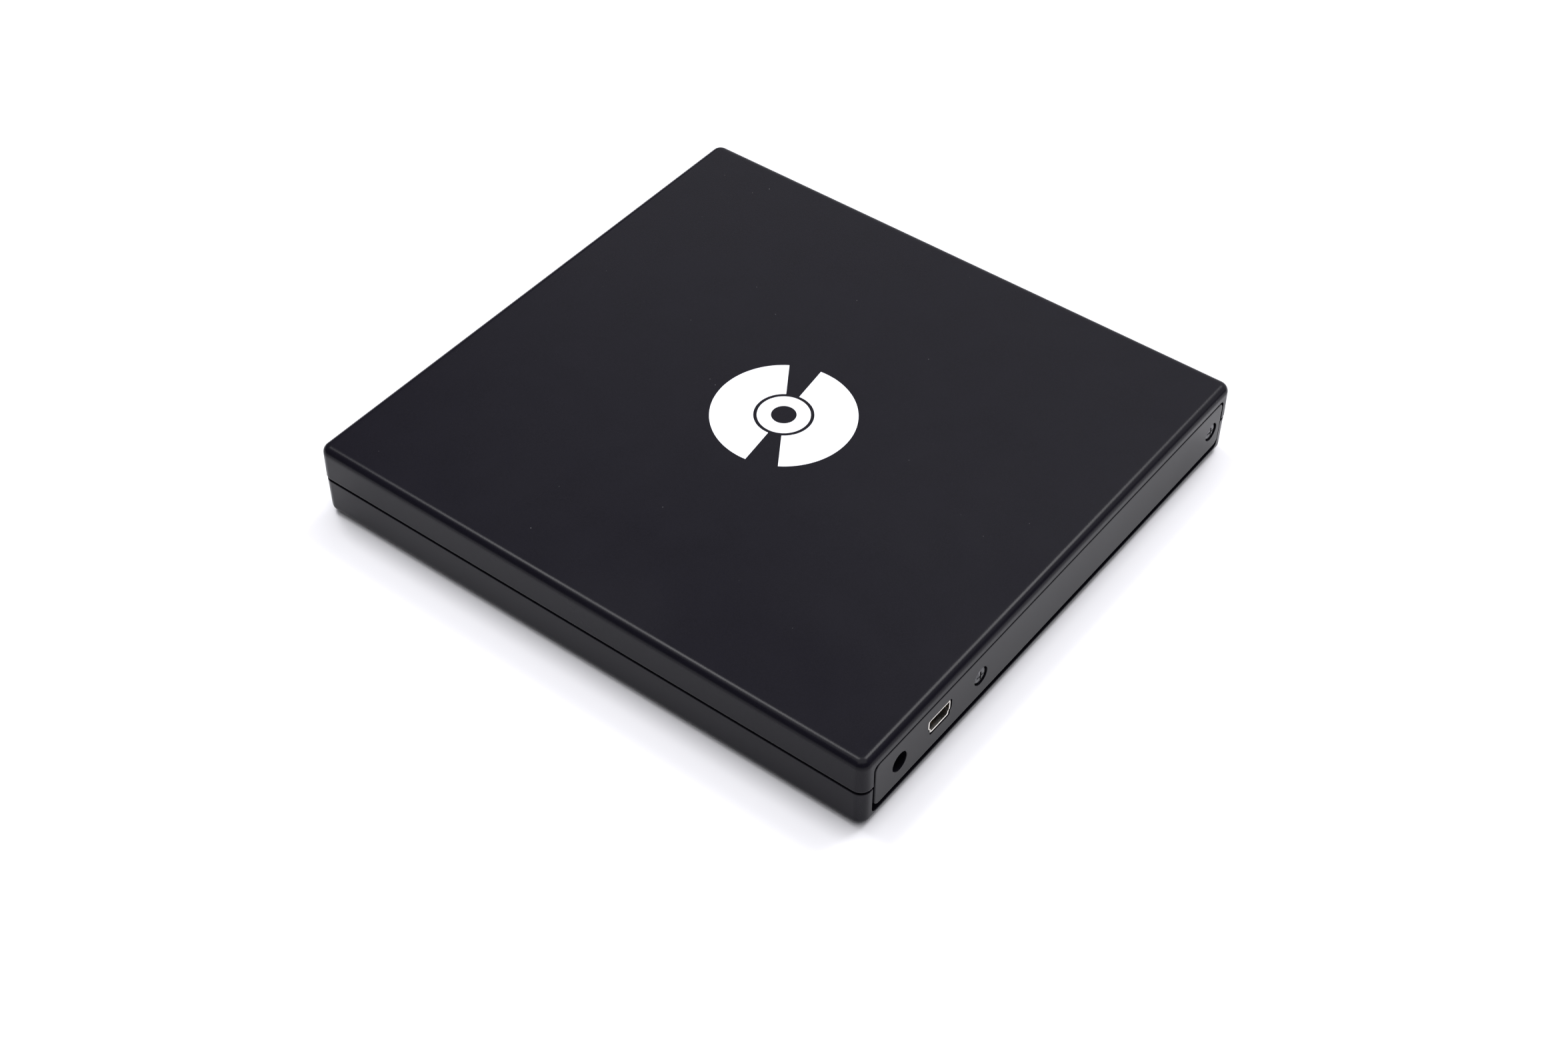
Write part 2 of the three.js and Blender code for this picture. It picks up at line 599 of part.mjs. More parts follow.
function ejectButton() {
  const b = BUTTON;
  const front = -backOfCase;
  const cap = block(
    b.x - b.halfWidth,
    b.x + b.halfWidth,
    front,
    front + 1.9,
    b.z - b.halfHeight,
    b.z + b.halfHeight,
  );
  return join(cap, block(b.x - 1, b.x + 1, front + 1.5, -71.95, b.z - 1, b.z + 1));
}

// The plate that carries the spindle and the pickup, with ears that hold the rods and screw.
function traverseFrame() {
  const { z0, z1, radius, reach, halfWidth } = BED;
  const plate = block(0, reach, -halfWidth, halfWidth, z0, z1);
  const bed = join(rodAlongZ(0, 0, z0, z1, radius, 48), plate);
  const openings = [block(16, 63, -5.5, 8, z0 - 1, z1 + 1), block(59.8, 70, -15, -9.6, z0 - 1, z1 + 1)];
  const earAt = (x0, y) =>
    block(x0, x0 + EAR.thickness, y - EAR.halfWidth, y + EAR.halfWidth, z1 - 0.2, EAR.top);
  const ears = ROD.ys.flatMap((y) => [earAt(EAR.near, y), earAt(EAR.far, y)]);
  const screwEar = earAt(EAR.near, SCREW.y);
  const rodHoles = ROD.ys.map((y) => rodAlongX(y, ROD.z, 12, 67, ROD.radius + 0.3, 16));
  const screwHole = rodAlongX(SCREW.y, SCREW.z, 12, 16, SCREW.radius + 0.3, 16);
  return cut(join(cut(bed, ...openings), ...ears, screwEar), ...rodHoles, screwHole);
}

function pickupSled() {
  const s = SLED;
  const body = block(s.x0, s.x1, s.y0, s.y1, s.z0, s.z1);
  const nut = block(19, 23, -13.6, s.y0 + 0.5, s.z0, s.z1);
  const well = block(17.5, 27.5, -6, 6, 8.8, s.z1 + 1);
  const lightPath = rodAlongZ(LENS_REST, 0, s.z0 - 1, s.z1 + 1, 2.4);
  const rodHoles = ROD.ys.map((y) => rodAlongX(y, ROD.z, 10, 40, ROD.radius + 0.25, 16));
  const screwHole = rodAlongX(SCREW.y, SCREW.z, 10, 40, SCREW.radius + 0.25, 16);
  return cut(join(body, nut), well, lightPath, ...rodHoles, screwHole);
}

function lensFrame() {
  const frame = block(LENS_REST - 3.8, LENS_REST + 3.8, -5.4, 5.4, 10.1, 11.5);
  return cut(frame, rodAlongZ(LENS_REST, 0, 9, 13, 2.15));
}

function objectiveLens() {
  const dome = [
    [0, 10.8],
    [2, 10.8],
    [2, 11.7],
    [1.6, 12],
    [1.1, 12.2],
    [0.5, 12.3],
    [0, 12.32],
  ];
  return turned(dome, 24).translate(LENS_REST, 0, 0);
}

// A shaft with its raised thread drawn as a row of collars, one to each turn of the thread.
function leadScrew() {
  const core = rodAlongX(SCREW.y, SCREW.z, SCREW.x0, SCREW.x1, SCREW.radius * 0.8, 12);
  const rings = [];
  for (let x = 15.8; x < SCREW.x1 - 1.5; x += SCREW.pitch) {
    rings.push(rodAlongX(SCREW.y, SCREW.z, x, x + 1.5, SCREW.radius, 12));
  }
  return join(core, ...rings);
}

function feedMotor() {
  const can = rodAlongX(SCREW.y, SCREW.z, 60.5, 66.2, 2.1, 32);
  return join(can, rodAlongX(SCREW.y, SCREW.z, 66, 66.5, 0.8, 16));
}

function spindleBase() {
  const plate = rodAlongZ(0, 0, 6.35, 6.95, 14, 48);
  return cut(plate, rodAlongZ(0, 0, 6, 8, 1.6));
}

// The rotor, the ledge that a disc sits on, and the boss that fills the disc's hole.
function turntable() {
  const profile = [
    [0, 6.5],
    [1.2, 6.5],
    [1.2, 7.3],
    [12.5, 7.3],
    [12.5, 11],
    [12, 11.4],
    [11, 11.4],
    [11, 12.2],
    [15.5, 12.2],
    [15.5, 12.7],
    [15.2, 13],
    [7.4, 13],
    [7.4, 14.9],
    [6.9, 15.4],
    [0, 15.4],
  ];
  const slotAt = (i) => block(3.6, 9, -1.8, 1.8, 13.4, 14.9).rotateZ((i * FULL_TURN) / CLAWS);
  const slots = Array.from({ length: CLAWS }, (_, i) => slotAt(i));
  return cut(turned(profile, 32), ...slots);
}

function turntablePad() {
  const ring = rodAlongZ(0, 0, PAD.z0, PAD.z1, PAD.outer, 36);
  return cut(ring, rodAlongZ(0, 0, PAD.z0 - 1, PAD.z1 + 1, PAD.inner, 36));
}

function claw() {
  const section = outline([
    [5, 13.7],
    [7.5, 13.7],
    [7.9, 14.1],
    [7.5, 14.6],
    [5, 14.6],
  ]);
  return carriedAlongY(section, -1.5, 1.5);
}

// A lever on an upright pin: one arm reaches the solenoid, and the other ends in the hook.
function latchLever() {
  const p = LATCH_PIVOT;
  const { z0, z1, eye: eyeRadius, bore, reach } = LEVER;
  const eye = rodAlongZ(p.x, p.y, z0, z1, eyeRadius);
  const arm = block(p.x - 1.6, p.x + 0.6, reach, p.y, z0, z1);
  const hook = block(-53.1, p.x - 0.4, -58.6, -56.9, z0, z1);
  const tail = block(p.x, -43.5, p.y - 0.9, p.y + 0.9, z0, z1);
  return cut(join(eye, arm, hook, tail), rodAlongZ(p.x, p.y, z0 - 1, z1 + 1, bore));
}

function latchSolenoid() {
  const s = SOLENOID;
  const body = block(s.x0, s.x1, s.y0, s.y1, s.z0, s.z1);
  return join(body, rodAlongY(-44.6, 7.6, s.y1 - 0.5, s.y1 + 1.1, 0.9, 16));
}

function buildTraverse(tray) {
  const traverse = new THREE.Group();
  traverse.position.set(0, WELL.y, 0);
  traverse.rotation.z = TRAVERSE_TURN;
  tray.add(traverse);
  add(traverse, "traverse_frame", traverseFrame(), steel);
  add(traverse, "outer_guide_rod", rodAlongX(ROD.ys[0], ROD.z, ROD.x0, ROD.x1, ROD.radius), brightNickel);
  add(traverse, "inner_guide_rod", rodAlongX(ROD.ys[1], ROD.z, ROD.x0, ROD.x1, ROD.radius), brightNickel);
  add(traverse, "feed_motor", feedMotor(), steel);
  add(traverse, "lead_screw", leadScrew(), brightNickel);
  add(traverse, "pickup_sled", pickupSled(), darkPlastic);
  add(traverse, "lens_frame", lensFrame(), chipBlack);
  add(traverse, "objective_lens", objectiveLens(), lensBlue);
  add(traverse, "spindle_base", spindleBase(), steel);
  add(traverse, "turntable", turntable(), darkPlastic);
  add(traverse, "turntable_pad", turntablePad(), rubber);
  for (let i = 0; i < CLAWS; i += 1) {
    const turn = new THREE.Group();
    turn.rotation.z = (i * FULL_TURN) / CLAWS;
    traverse.add(turn);
    add(turn, `disc_claw_${i + 1}`, claw(), whitePlastic);
  }
}

function buildTray(root) {
  add(root, "disc_tray", discTray(), darkPlastic);
  add(root, "tray_bezel", trayBezel(), blackShell);
  add(root, "eject_button", ejectButton(), blackGloss);
  const glow = LIGHT;
  const pipe = block(
    glow.x - glow.halfWidth,
    glow.x + glow.halfWidth,
    -75,
    -70.1,
    glow.z - glow.halfHeight,
    glow.z + glow.halfHeight,
  );
  add(root, "activity_light", pipe, lightGreen);
  const f = FRONT_BOARD;
  const s = SHIELD;
  add(root, "front_board", block(f.x0, f.x1, f.y0, f.y1, f.z0, f.z1), boardGreen);
  add(root, "button_switch", block(40.5, 44.5, -71.1, -70.05, 6.2, 9.8), chipBlack);
  add(root, "tray_shield", block(s.x0, s.x1, s.y0, s.y1, s.z0, s.z1), steel);
  add(root, "latch_solenoid", latchSolenoid(), steel);
  add(root, "latch_lever", latchLever(), darkPlastic);
  buildTraverse(root);
}

// ---- whole object -----------------------------------------------------------------------

const opticalDrive = new THREE.Group();
opticalDrive.name = "optical_drive";
buildCase(opticalDrive);
buildAdapter(opticalDrive);
buildDrive(opticalDrive);
buildTray(opticalDrive);

export default opticalDrive;
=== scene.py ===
# %% [markdown]
# # A slim portable optical drive
# This lesson dresses a packed mechanical model of a slim optical drive. The model already has
# every piece at its real size and place, in metres, with +Z up, the sockets at +Y and the tray
# coming out at -Y. Here the pieces get finer surfaces and real finishes: satin black mouldings,
# nickel, plated steel, circuit board, rubber and a coated lens. Lengths below are in millimetres
# unless a line says otherwise, and `MM` turns them into metres.

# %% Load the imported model
import json
import math
import bmesh
import bpy
import numpy as np
from mathutils import Matrix, Vector

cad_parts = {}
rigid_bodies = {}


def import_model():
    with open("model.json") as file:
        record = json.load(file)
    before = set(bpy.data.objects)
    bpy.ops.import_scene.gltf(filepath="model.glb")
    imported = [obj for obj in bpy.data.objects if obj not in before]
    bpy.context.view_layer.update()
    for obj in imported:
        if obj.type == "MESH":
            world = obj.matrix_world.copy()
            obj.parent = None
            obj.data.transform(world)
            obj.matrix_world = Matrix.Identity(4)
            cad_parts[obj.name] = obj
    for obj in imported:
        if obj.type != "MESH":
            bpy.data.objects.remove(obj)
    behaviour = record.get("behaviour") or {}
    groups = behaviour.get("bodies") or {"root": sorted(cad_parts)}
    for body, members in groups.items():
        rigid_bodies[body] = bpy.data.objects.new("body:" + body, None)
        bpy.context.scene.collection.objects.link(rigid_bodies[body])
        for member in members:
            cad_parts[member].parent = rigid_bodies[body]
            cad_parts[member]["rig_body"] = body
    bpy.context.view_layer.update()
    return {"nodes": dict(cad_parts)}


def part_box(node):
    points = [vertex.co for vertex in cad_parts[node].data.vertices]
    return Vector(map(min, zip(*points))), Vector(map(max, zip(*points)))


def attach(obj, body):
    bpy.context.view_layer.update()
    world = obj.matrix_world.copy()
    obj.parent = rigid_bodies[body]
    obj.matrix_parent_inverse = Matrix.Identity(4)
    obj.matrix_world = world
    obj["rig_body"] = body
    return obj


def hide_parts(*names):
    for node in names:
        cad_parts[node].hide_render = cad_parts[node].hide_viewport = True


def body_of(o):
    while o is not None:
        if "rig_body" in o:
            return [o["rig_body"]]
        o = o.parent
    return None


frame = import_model()
MM = 0.001
TURN = 2 * math.pi
print("pieces in the model:", len(frame["nodes"]))

# %% [markdown]
# ## Camera
# The drive is seen from above one corner, so the lid, one long side and the back panel all show.
# A camera could be aimed at an empty object, but a direction, a distance and a small shift in its
# own picture plane are easier to adjust one at a time. A longish lens keeps the edges nearly
# parallel.

# %% Camera
LENS_MM = 55.456
SENSOR_MM = 36.0
AZIMUTH, ELEVATION, ROLL = math.radians(127.105), math.radians(45.171), math.radians(0.457)
DISTANCE, ASIDE, ALOFT = 557.0 * MM, 0.53 * MM, -10.59 * MM
AIM_HEIGHT = 0.32 * MM


def make_camera():
    """Places the camera at back times the distance, where back points from the drive to it."""
    back = Vector((
        math.sin(AZIMUTH) * math.cos(ELEVATION),
        -math.cos(AZIMUTH) * math.cos(ELEVATION),
        math.sin(ELEVATION),
    ))
    level = Vector((math.cos(AZIMUTH), math.sin(AZIMUTH), 0))
    upright = back.cross(level)
    right = math.cos(ROLL) * level + math.sin(ROLL) * upright
    up = math.cos(ROLL) * upright - math.sin(ROLL) * level
    place = back * DISTANCE + right * ASIDE + up * ALOFT + Vector((0, 0, AIM_HEIGHT))
    made = bpy.data.objects.new("camera", bpy.data.cameras.new("camera"))
    bpy.context.scene.collection.objects.link(made)
    made.data.lens = LENS_MM
    made.data.sensor_width = SENSOR_MM
    made.data.clip_start = 10 * MM
    turned = Matrix((right, up, back)).transposed().to_4x4()
    made.matrix_world = Matrix.Translation(place) @ turned
    bpy.context.scene.camera = made
    return made


camera = make_camera()
print("camera at", [round(v, 3) for v in camera.matrix_world.translation])

# %% [markdown]
# ## Shader sums in plain Python
# A finish is easier to read as a formula than as a list of links. `Signal` stands for one output
# of a shader node, and adding or multiplying signals adds the Math nodes. `Finish` owns one
# material: its `node` method makes any node from its type, its settings and its inputs, and its
# `feed` method ends a formula in the Principled shader.

# %% Signal and Finish
class Signal:
    """An output of a shader node that takes part in Python arithmetic."""

    def __init__(self, finish, socket):
        self.finish = finish
        self.socket = socket

    def maths(self, operation, first, second):
        """One Math node; each side is a signal or a number."""
        return self.finish.node("ShaderNodeMath", {"operation": operation}, {0: first, 1: second})

    def __add__(self, other):
        return self.maths("ADD", self, other)

    def __sub__(self, other):
        return self.maths("SUBTRACT", self, other)

    def __rsub__(self, other):
        return self.maths("SUBTRACT", other, self)

    def __mul__(self, other):
        return self.maths("MULTIPLY", self, other)

    __radd__ = __add__
    __rmul__ = __mul__


class Finish:
    """One material with a Principled shader; constants are set straight on its sockets."""

    def __init__(self, name, colour, roughness, metallic=0.0, **constants):
        self.material = bpy.data.materials.new(name)
        self.material.use_nodes = True
        self.tree = self.material.node_tree
        self.shader = self.tree.nodes["Principled BSDF"]
        self.shader.inputs["Base Color"].default_value = (*colour, 1.0)
        self.shader.inputs["Roughness"].default_value = roughness
        self.shader.inputs["Metallic"].default_value = metallic
        for socket, value in constants.items():
            self.shader.inputs[socket.replace("_", " ")].default_value = value
        self.place = self.node("ShaderNodeTexCoord", {}, {}, "Object")

    def node(self, kind, settings, inputs, output=0):
        """Adds a node: settings first, then each input as a value or a link."""
        made = self.tree.nodes.new(kind)
        for key, value in settings.items():
            setattr(made, key, value)
        for key, value in inputs.items():
            if isinstance(value, Signal):
                self.tree.links.new(value.socket, made.inputs[key])
            else:
                made.inputs[key].default_value = value
        return Signal(self, made.outputs[output])

    def feed(self, socket, signal):
        """Links a signal to a socket of the Principled shader."""
        self.tree.links.new(signal.socket, self.shader.inputs[socket])

    def noise(self, grain, detail=2.0, stretch=None, roughness=0.5):
        """Fractal noise whose blobs are about grain metres across, from 0 to 1."""
        where = self.place if stretch is None else self.scaled(stretch)
        inputs = {"Vector": where, "Scale": 1 / grain, "Detail": detail, "Roughness": roughness}
        return self.node("ShaderNodeTexNoise", {}, inputs, "Fac")

    def scaled(self, factors):
        """Object coordinates times a factor for each axis."""
        settings = {"operation": "MULTIPLY"}
        return self.node("ShaderNodeVectorMath", settings, {0: self.place, 1: factors}, "Vector")

    def ramp(self, signal, low, high, to_low=0.0, to_high=1.0):
        """Maps low..high of a signal to to_low..to_high, held flat outside."""
        inputs = {"Value": signal, 1: low, 2: high, 3: to_low, 4: to_high}
        return self.node("ShaderNodeMapRange", {"clamp": True}, inputs, "Result")

    def mix(self, mask, first, second):
        """first where the mask is 0 and second where it is 1; both are colours."""
        inputs = {0: mask, 6: first, 7: second}
        return self.node("ShaderNodeMix", {"data_type": "RGBA"}, inputs, 2)

    def bump(self, height, distance, strength=1.0, under=None):
        """A normal tilted by a height from 0 to 1 that stands for 0 to distance metres, laid over
        the normal of a coarser bump if one is given."""
        inputs = {"Height": height, "Distance": distance, "Strength": strength}
        if under is not None:
            inputs["Normal"] = under
        return self.node("ShaderNodeBump", {}, inputs, "Normal")

    def axes(self):
        """The X, Y and Z of Object coordinates as three signals."""
        return [self.node("ShaderNodeSeparateXYZ", {}, {0: self.place}, i) for i in range(3)]


def shade(colour, factor):
    """A colour times a number, with alpha 1."""
    return (*[min(1.0, c * factor) for c in colour[:3]], 1.0)


print("twice a dark grey:", shade((0.1, 0.1, 0.1), 2))

# %% [markdown]
# ## Moulded plastic
# The covers are black ABS from a spark-eroded mould: the surface is a dense field of tiny soft
# bumps, so the lid looks even and the rounded edges glitter faintly. Real bumps this small would
# take millions of faces, so noise in a Bump node makes them. A broad noise varies the gloss as
# handling does, and a cellular pattern leaves a few pale specks of dust. The same recipe with
# other numbers makes the smoother panel, bezel and tray, the white acetal of the disc claws and
# the frosted light pipe.

# %% Moulded plastic
HANDLED, LUMP = 38 * MM, 9 * MM
SPECK_SPACING, SPECK_PATCH = 4.5 * MM, 13 * MM
SPECK_RADIUS = 0.035
SPECK_COLOUR = (0.25, 0.25, 0.26, 1)
GLOSS_CHANGE = 0.035


def moulded(name, colour, roughness, grain, depth, dust=0.0, gloss=0.5):
    """Plastic with bumps whose grain and depth are in millimetres. dust is how strongly the
    specks show, and SPECK_RADIUS is a share of their spacing."""
    f = Finish(name, colour, roughness, Specular_IOR_Level=gloss)
    fine = f.noise(grain * MM, detail=3.0)
    broad = f.noise(HANDLED, detail=3.0)
    lumps = f.noise(LUMP, detail=2.0)
    gloss_range = (roughness - GLOSS_CHANGE, roughness + GLOSS_CHANGE)
    f.feed("Roughness", f.ramp(broad, 0.3, 0.7, *gloss_range))
    base = f.mix(f.ramp(lumps, 0.3, 0.7), shade(colour, 0.93), shade(colour, 1.07))
    base = f.mix(f.ramp(fine, 0.35, 0.75), base, shade(colour, 1.25))
    if dust:
        inputs = {"Vector": f.place, "Scale": 1 / SPECK_SPACING, "Randomness": 1.0}
        spot = f.node("ShaderNodeTexVoronoi", {}, inputs, "Distance")
        where = f.ramp(f.noise(SPECK_PATCH), 0.5, 0.62)
        specks = f.ramp(spot, 0.0, SPECK_RADIUS, 1.0, 0.0) * where * dust
        base = f.mix(specks, base, SPECK_COLOUR)
    f.feed("Base Color", base)
    f.feed("Normal", f.bump(fine, depth * MM, under=f.bump(broad, 6 * depth * MM, 0.5)))
    return f.material


COVER_BLACK, PANEL_BLACK = (0.0058, 0.0053, 0.0086), (0.0042, 0.0040, 0.0062)
BEZEL_BLACK, TRAY_BLACK = (0.0075, 0.0072, 0.0095), (0.0130, 0.0130, 0.0145)
cover_plastic = moulded("cover_plastic", COVER_BLACK, 0.25, 0.32, 0.007, dust=0.6, gloss=0.11)
panel_plastic = moulded("panel_plastic", PANEL_BLACK, 0.25, 0.5, 0.004, gloss=0.11)
bezel_plastic = moulded("bezel_plastic", BEZEL_BLACK, 0.3, 0.3, 0.006, gloss=0.25)
tray_plastic = moulded("tray_plastic", TRAY_BLACK, 0.42, 0.25, 0.008, gloss=0.3)
inner_plastic = moulded("inner_plastic", (0.018, 0.018, 0.020), 0.5, 0.4, 0.006)
acetal = moulded("acetal", (0.62, 0.62, 0.58), 0.38, 0.3, 0.003)
light_plastic = moulded("light_plastic", (0.45, 0.62, 0.42), 0.22, 0.5, 0.003)
print("plastics made")

# %% [markdown]
# ## Metals
# Zinc-plated sheet has fine rolling lines along one direction and a cloudy gloss. An anisotropic
# shader would smear its highlights, but would show no lines up close, so the lines are noise drawn
# out along that direction. Bright nickel and drawn aluminium need only faint lines, and the
# screws are blackened steel that has rubbed brighter in small patches.

# %% Metals
METAL_GRAIN, METAL_CLOUD = 1.0 * MM, 7 * MM


def rolled_metal(name, colour, roughness, stretch, scratch):
    """Metal with fine lines: noise read at coordinates times stretch, so it is finer along an
    axis with a large factor and drawn out along one with a small factor. scratch is the depth
    in millimetres."""
    f = Finish(name, colour, roughness, metallic=1.0)
    lines = f.noise(METAL_GRAIN, detail=4.0, stretch=stretch, roughness=0.65)
    clouds = f.noise(METAL_CLOUD, detail=3.0)
    cloudy_lines = lines * 0.5 + clouds * 0.5
    f.feed("Roughness", f.ramp(cloudy_lines, 0.3, 0.7, roughness - 0.07, roughness + 0.1))
    f.feed("Base Color", f.mix(f.ramp(clouds, 0.3, 0.7), shade(colour, 0.86), shade(colour, 1.06)))
    f.feed("Normal", f.bump(lines, scratch * MM))
    return f.material


sheet_steel = rolled_metal("sheet_steel", (0.60, 0.61, 0.62), 0.32, (5, 0.25, 5), 0.004)
nickel = rolled_metal("nickel", (0.78, 0.75, 0.70), 0.20, (1, 4, 1), 0.001)
can_metal = rolled_metal("can_metal", (0.72, 0.72, 0.73), 0.28, (1, 1, 6), 0.002)
cast_metal = rolled_metal("cast_metal", (0.42, 0.42, 0.43), 0.42, (2, 2, 2), 0.006)
wire_steel = rolled_metal("wire_steel", (0.55, 0.55, 0.56), 0.25, (3, 3, 3), 0.002)
gold = rolled_metal("gold", (0.85, 0.60, 0.25), 0.22, (2, 2, 2), 0.001)


def blackened_steel():
    """Dark steel with rubbed patches that are brighter and smoother."""
    f = Finish("blackened_steel", (0.08, 0.08, 0.084), 0.36, metallic=0.9)
    rub = f.noise(0.7 * MM, detail=3.0)
    base = f.mix(f.ramp(rub, 0.5, 0.75), (0.075, 0.075, 0.080, 1), (0.16, 0.16, 0.165, 1))
    f.feed("Base Color", base)
    f.feed("Roughness", f.ramp(rub, 0.3, 0.7, 0.42, 0.28))
    f.feed("Normal", f.bump(rub, 0.006 * MM))
    return f.material


screw_steel = blackened_steel()
print("metals made")

# %% [markdown]
# ## Rubber, boards, ribbon, lens and ink
# Rubber is matt with a dusty bloom. A circuit board is green varnish over copper tracks. They
# could be drawn one by one, but a brick pattern gives long runs with breaks for nothing, and the
# copper shows as a paler green, slightly raised.
# The ribbon is amber film with parallel copper lines. The lens has a coating that turns it from
# violet at its rim to blue at its crown, and the print on the lid is a slightly mottled white ink.

# %% Rubber, boards and the rest
def rubber_finish():
    """Black rubber with grey patches of bloom over a fine grain."""
    f = Finish("rubber", (0.018, 0.018, 0.018), 0.82)
    bloom = f.noise(3 * MM, detail=4.0)
    grain = f.noise(0.25 * MM, detail=2.0)
    clean_black, grey = (0.016, 0.016, 0.016, 1), (0.05, 0.05, 0.05, 1)
    f.feed("Base Color", f.mix(f.ramp(bloom, 0.4, 0.8), clean_black, grey))
    f.feed("Roughness", f.ramp(bloom, 0.3, 0.7, 0.75, 0.9))
    f.feed("Normal", f.bump(grain, 0.02 * MM))
    return f.material


def board_finish():
    """Tracks are the joints of a brick pattern, kept only in patches; between the patches lie
    round tinned pads, the middles of the cells of a cellular pattern."""
    f = Finish("circuit_board", (0.015, 0.10, 0.045), 0.34)
    inputs = {
        "Vector": f.place, "Scale": 1.0, "Mortar Size": 0.22 * MM, "Mortar Smooth": 0.1,
        "Brick Width": 6.3 * MM, "Row Height": 0.9 * MM,
    }
    tracks = f.node("ShaderNodeTexBrick", {"offset": 0.37, "squash": 0.7}, inputs, "Fac")
    patches = f.ramp(f.noise(5 * MM, detail=1.0), 0.48, 0.5)
    copper = tracks * patches
    base = f.mix(copper, (0.012, 0.085, 0.038, 1), (0.05, 0.22, 0.09, 1))
    inputs = {"Vector": f.place, "Scale": 1 / (2.2 * MM)}
    pads = f.node("ShaderNodeTexVoronoi", {}, inputs, "Distance")
    dots = f.ramp(pads, 0.10, 0.12, 1.0, 0.0) * (1 - patches)
    f.feed("Base Color", f.mix(dots, base, (0.55, 0.54, 0.50, 1)))
    f.feed("Metallic", dots * 0.9)
    f.feed("Roughness", f.ramp(f.noise(2 * MM), 0.3, 0.7, 0.28, 0.40))
    f.feed("Normal", f.bump(copper + dots, 0.03 * MM))
    return f.material


def chip_finish():
    """Black epoxy with a sandy surface."""
    f = Finish("chip_package", (0.016, 0.016, 0.017), 0.55)
    grit = f.noise(0.18 * MM, detail=2.0)
    epoxy, sand = (0.014, 0.014, 0.015, 1), (0.035, 0.035, 0.036, 1)
    f.feed("Base Color", f.mix(f.ramp(grit, 0.3, 0.8), epoxy, sand))
    f.feed("Roughness", f.ramp(grit, 0.3, 0.7, 0.5, 0.66))
    f.feed("Normal", f.bump(grit, 0.012 * MM))
    return f.material


def ribbon_finish():
    """Lines along Y: x folded back and forth over 0.3 mm, and copper where that is large. The
    metre added to x only keeps it positive."""
    f = Finish("ribbon_film", (0.42, 0.20, 0.05), 0.28)
    across = f.axes()[0]
    comb = f.node("ShaderNodeMath", {"operation": "PINGPONG"}, {0: across + 1.0, 1: 0.3 * MM})
    lines = f.ramp(comb, 0.12 * MM, 0.16 * MM)
    f.feed("Base Color", f.mix(lines, (0.30, 0.13, 0.03, 1), (0.62, 0.33, 0.12, 1)))
    f.feed("Roughness", f.ramp(f.noise(3 * MM), 0.3, 0.7, 0.22, 0.36))
    f.feed("Normal", f.bump(lines, 0.02 * MM))
    return f.material


def lens_finish():
    """The coating is violet at the rim of the dome and deep blue at its crown."""
    f = Finish("lens_coating", (0.10, 0.08, 0.28), 0.04, Coat_Weight=1.0, Coat_Roughness=0.02)
    up_the_dome = f.ramp(f.axes()[2], 11.7 * MM, 12.3 * MM)
    f.feed("Base Color", f.mix(up_the_dome, (0.30, 0.12, 0.40, 1), (0.05, 0.05, 0.20, 1)))
    f.feed("Roughness", f.ramp(f.noise(1 * MM), 0.3, 0.7, 0.03, 0.07))
    return f.material


def ink_finish():
    """White ink, a little uneven in tone and gloss, that follows the grain of the lid."""
    f = Finish("white_ink", (0.80, 0.80, 0.86), 0.42)
    mottle = f.noise(1.2 * MM, detail=3.0)
    thin, thick = (0.77, 0.77, 0.83, 1), (0.83, 0.83, 0.88, 1)
    f.feed("Base Color", f.mix(f.ramp(mottle, 0.3, 0.7), thin, thick))
    f.feed("Roughness", f.ramp(mottle, 0.3, 0.7, 0.38, 0.48))
    f.feed("Normal", f.bump(f.noise(0.32 * MM, detail=3.0), 0.006 * MM))
    return f.material


rubber = rubber_finish()
board = board_finish()
chip = chip_finish()
ribbon = ribbon_finish()
lens_glass = lens_finish()
white_ink = ink_finish()
print("materials made:", len(bpy.data.materials))

# %% [markdown]
# ## Surfaces from rings of points
# Nearly every moulded or turned piece is a profile carried along a path: a wall section round the
# case, a half section spun about an axis. Blender's spin and curve bevel tools could make them
# too, but rings of points worked out as whole numpy arrays read like the formula for the shape.
# So the basic tool takes rings, joins each to the next with quads, and closes the two ends.
# Openings are cut afterwards with exact booleans, as a drill or a mould insert would.

# %% A mesh from rings
def surface(name, rings, ends="cap"):
    """Quads join ring i to ring i+1. ends is cap (a flat face on the first and last ring), pole
    (both rings shrink to a point, which merging closes) or loop (the last ring joins the first)."""
    rings = np.asarray(rings, float)
    count, around = rings.shape[:2]
    index = np.arange(count * around).reshape(count, around)
    after = np.roll(index, -1, axis=0) if ends == "loop" else index[1:]
    first = index if ends == "loop" else index[:-1]
    corners = [first, np.roll(first, -1, axis=1), np.roll(after, -1, axis=1), after]
    faces = np.stack(corners, axis=-1).reshape(-1, 4).tolist()
    if ends == "cap":
        faces += [index[0, ::-1].tolist(), index[-1].tolist()]
    mesh = bpy.data.meshes.new(name)
    mesh.from_pydata((rings.reshape(-1, 3) * MM).tolist(), [], faces)
    made = bpy.data.objects.new(name, mesh)
    bpy.context.scene.collection.objects.link(made)
    clean(made)
    return made


def clean(piece):
    """Merges points closer than 0.1 micrometre and turns every face outwards."""
    work = bmesh.new()
    work.from_mesh(piece.data)
    bmesh.ops.remove_doubles(work, verts=work.verts, dist=0.0001 * MM)
    bmesh.ops.recalc_face_normals(work, faces=work.faces)
    work.to_mesh(piece.data)
    work.free()


def flatten(piece):
    """Replaces a piece's mesh with the result of its modifiers."""
    bpy.context.view_layer.update()
    graph = bpy.context.evaluated_depsgraph_get()
    piece.data = bpy.data.meshes.new_from_object(piece.evaluated_get(graph))
    piece.modifiers.clear()


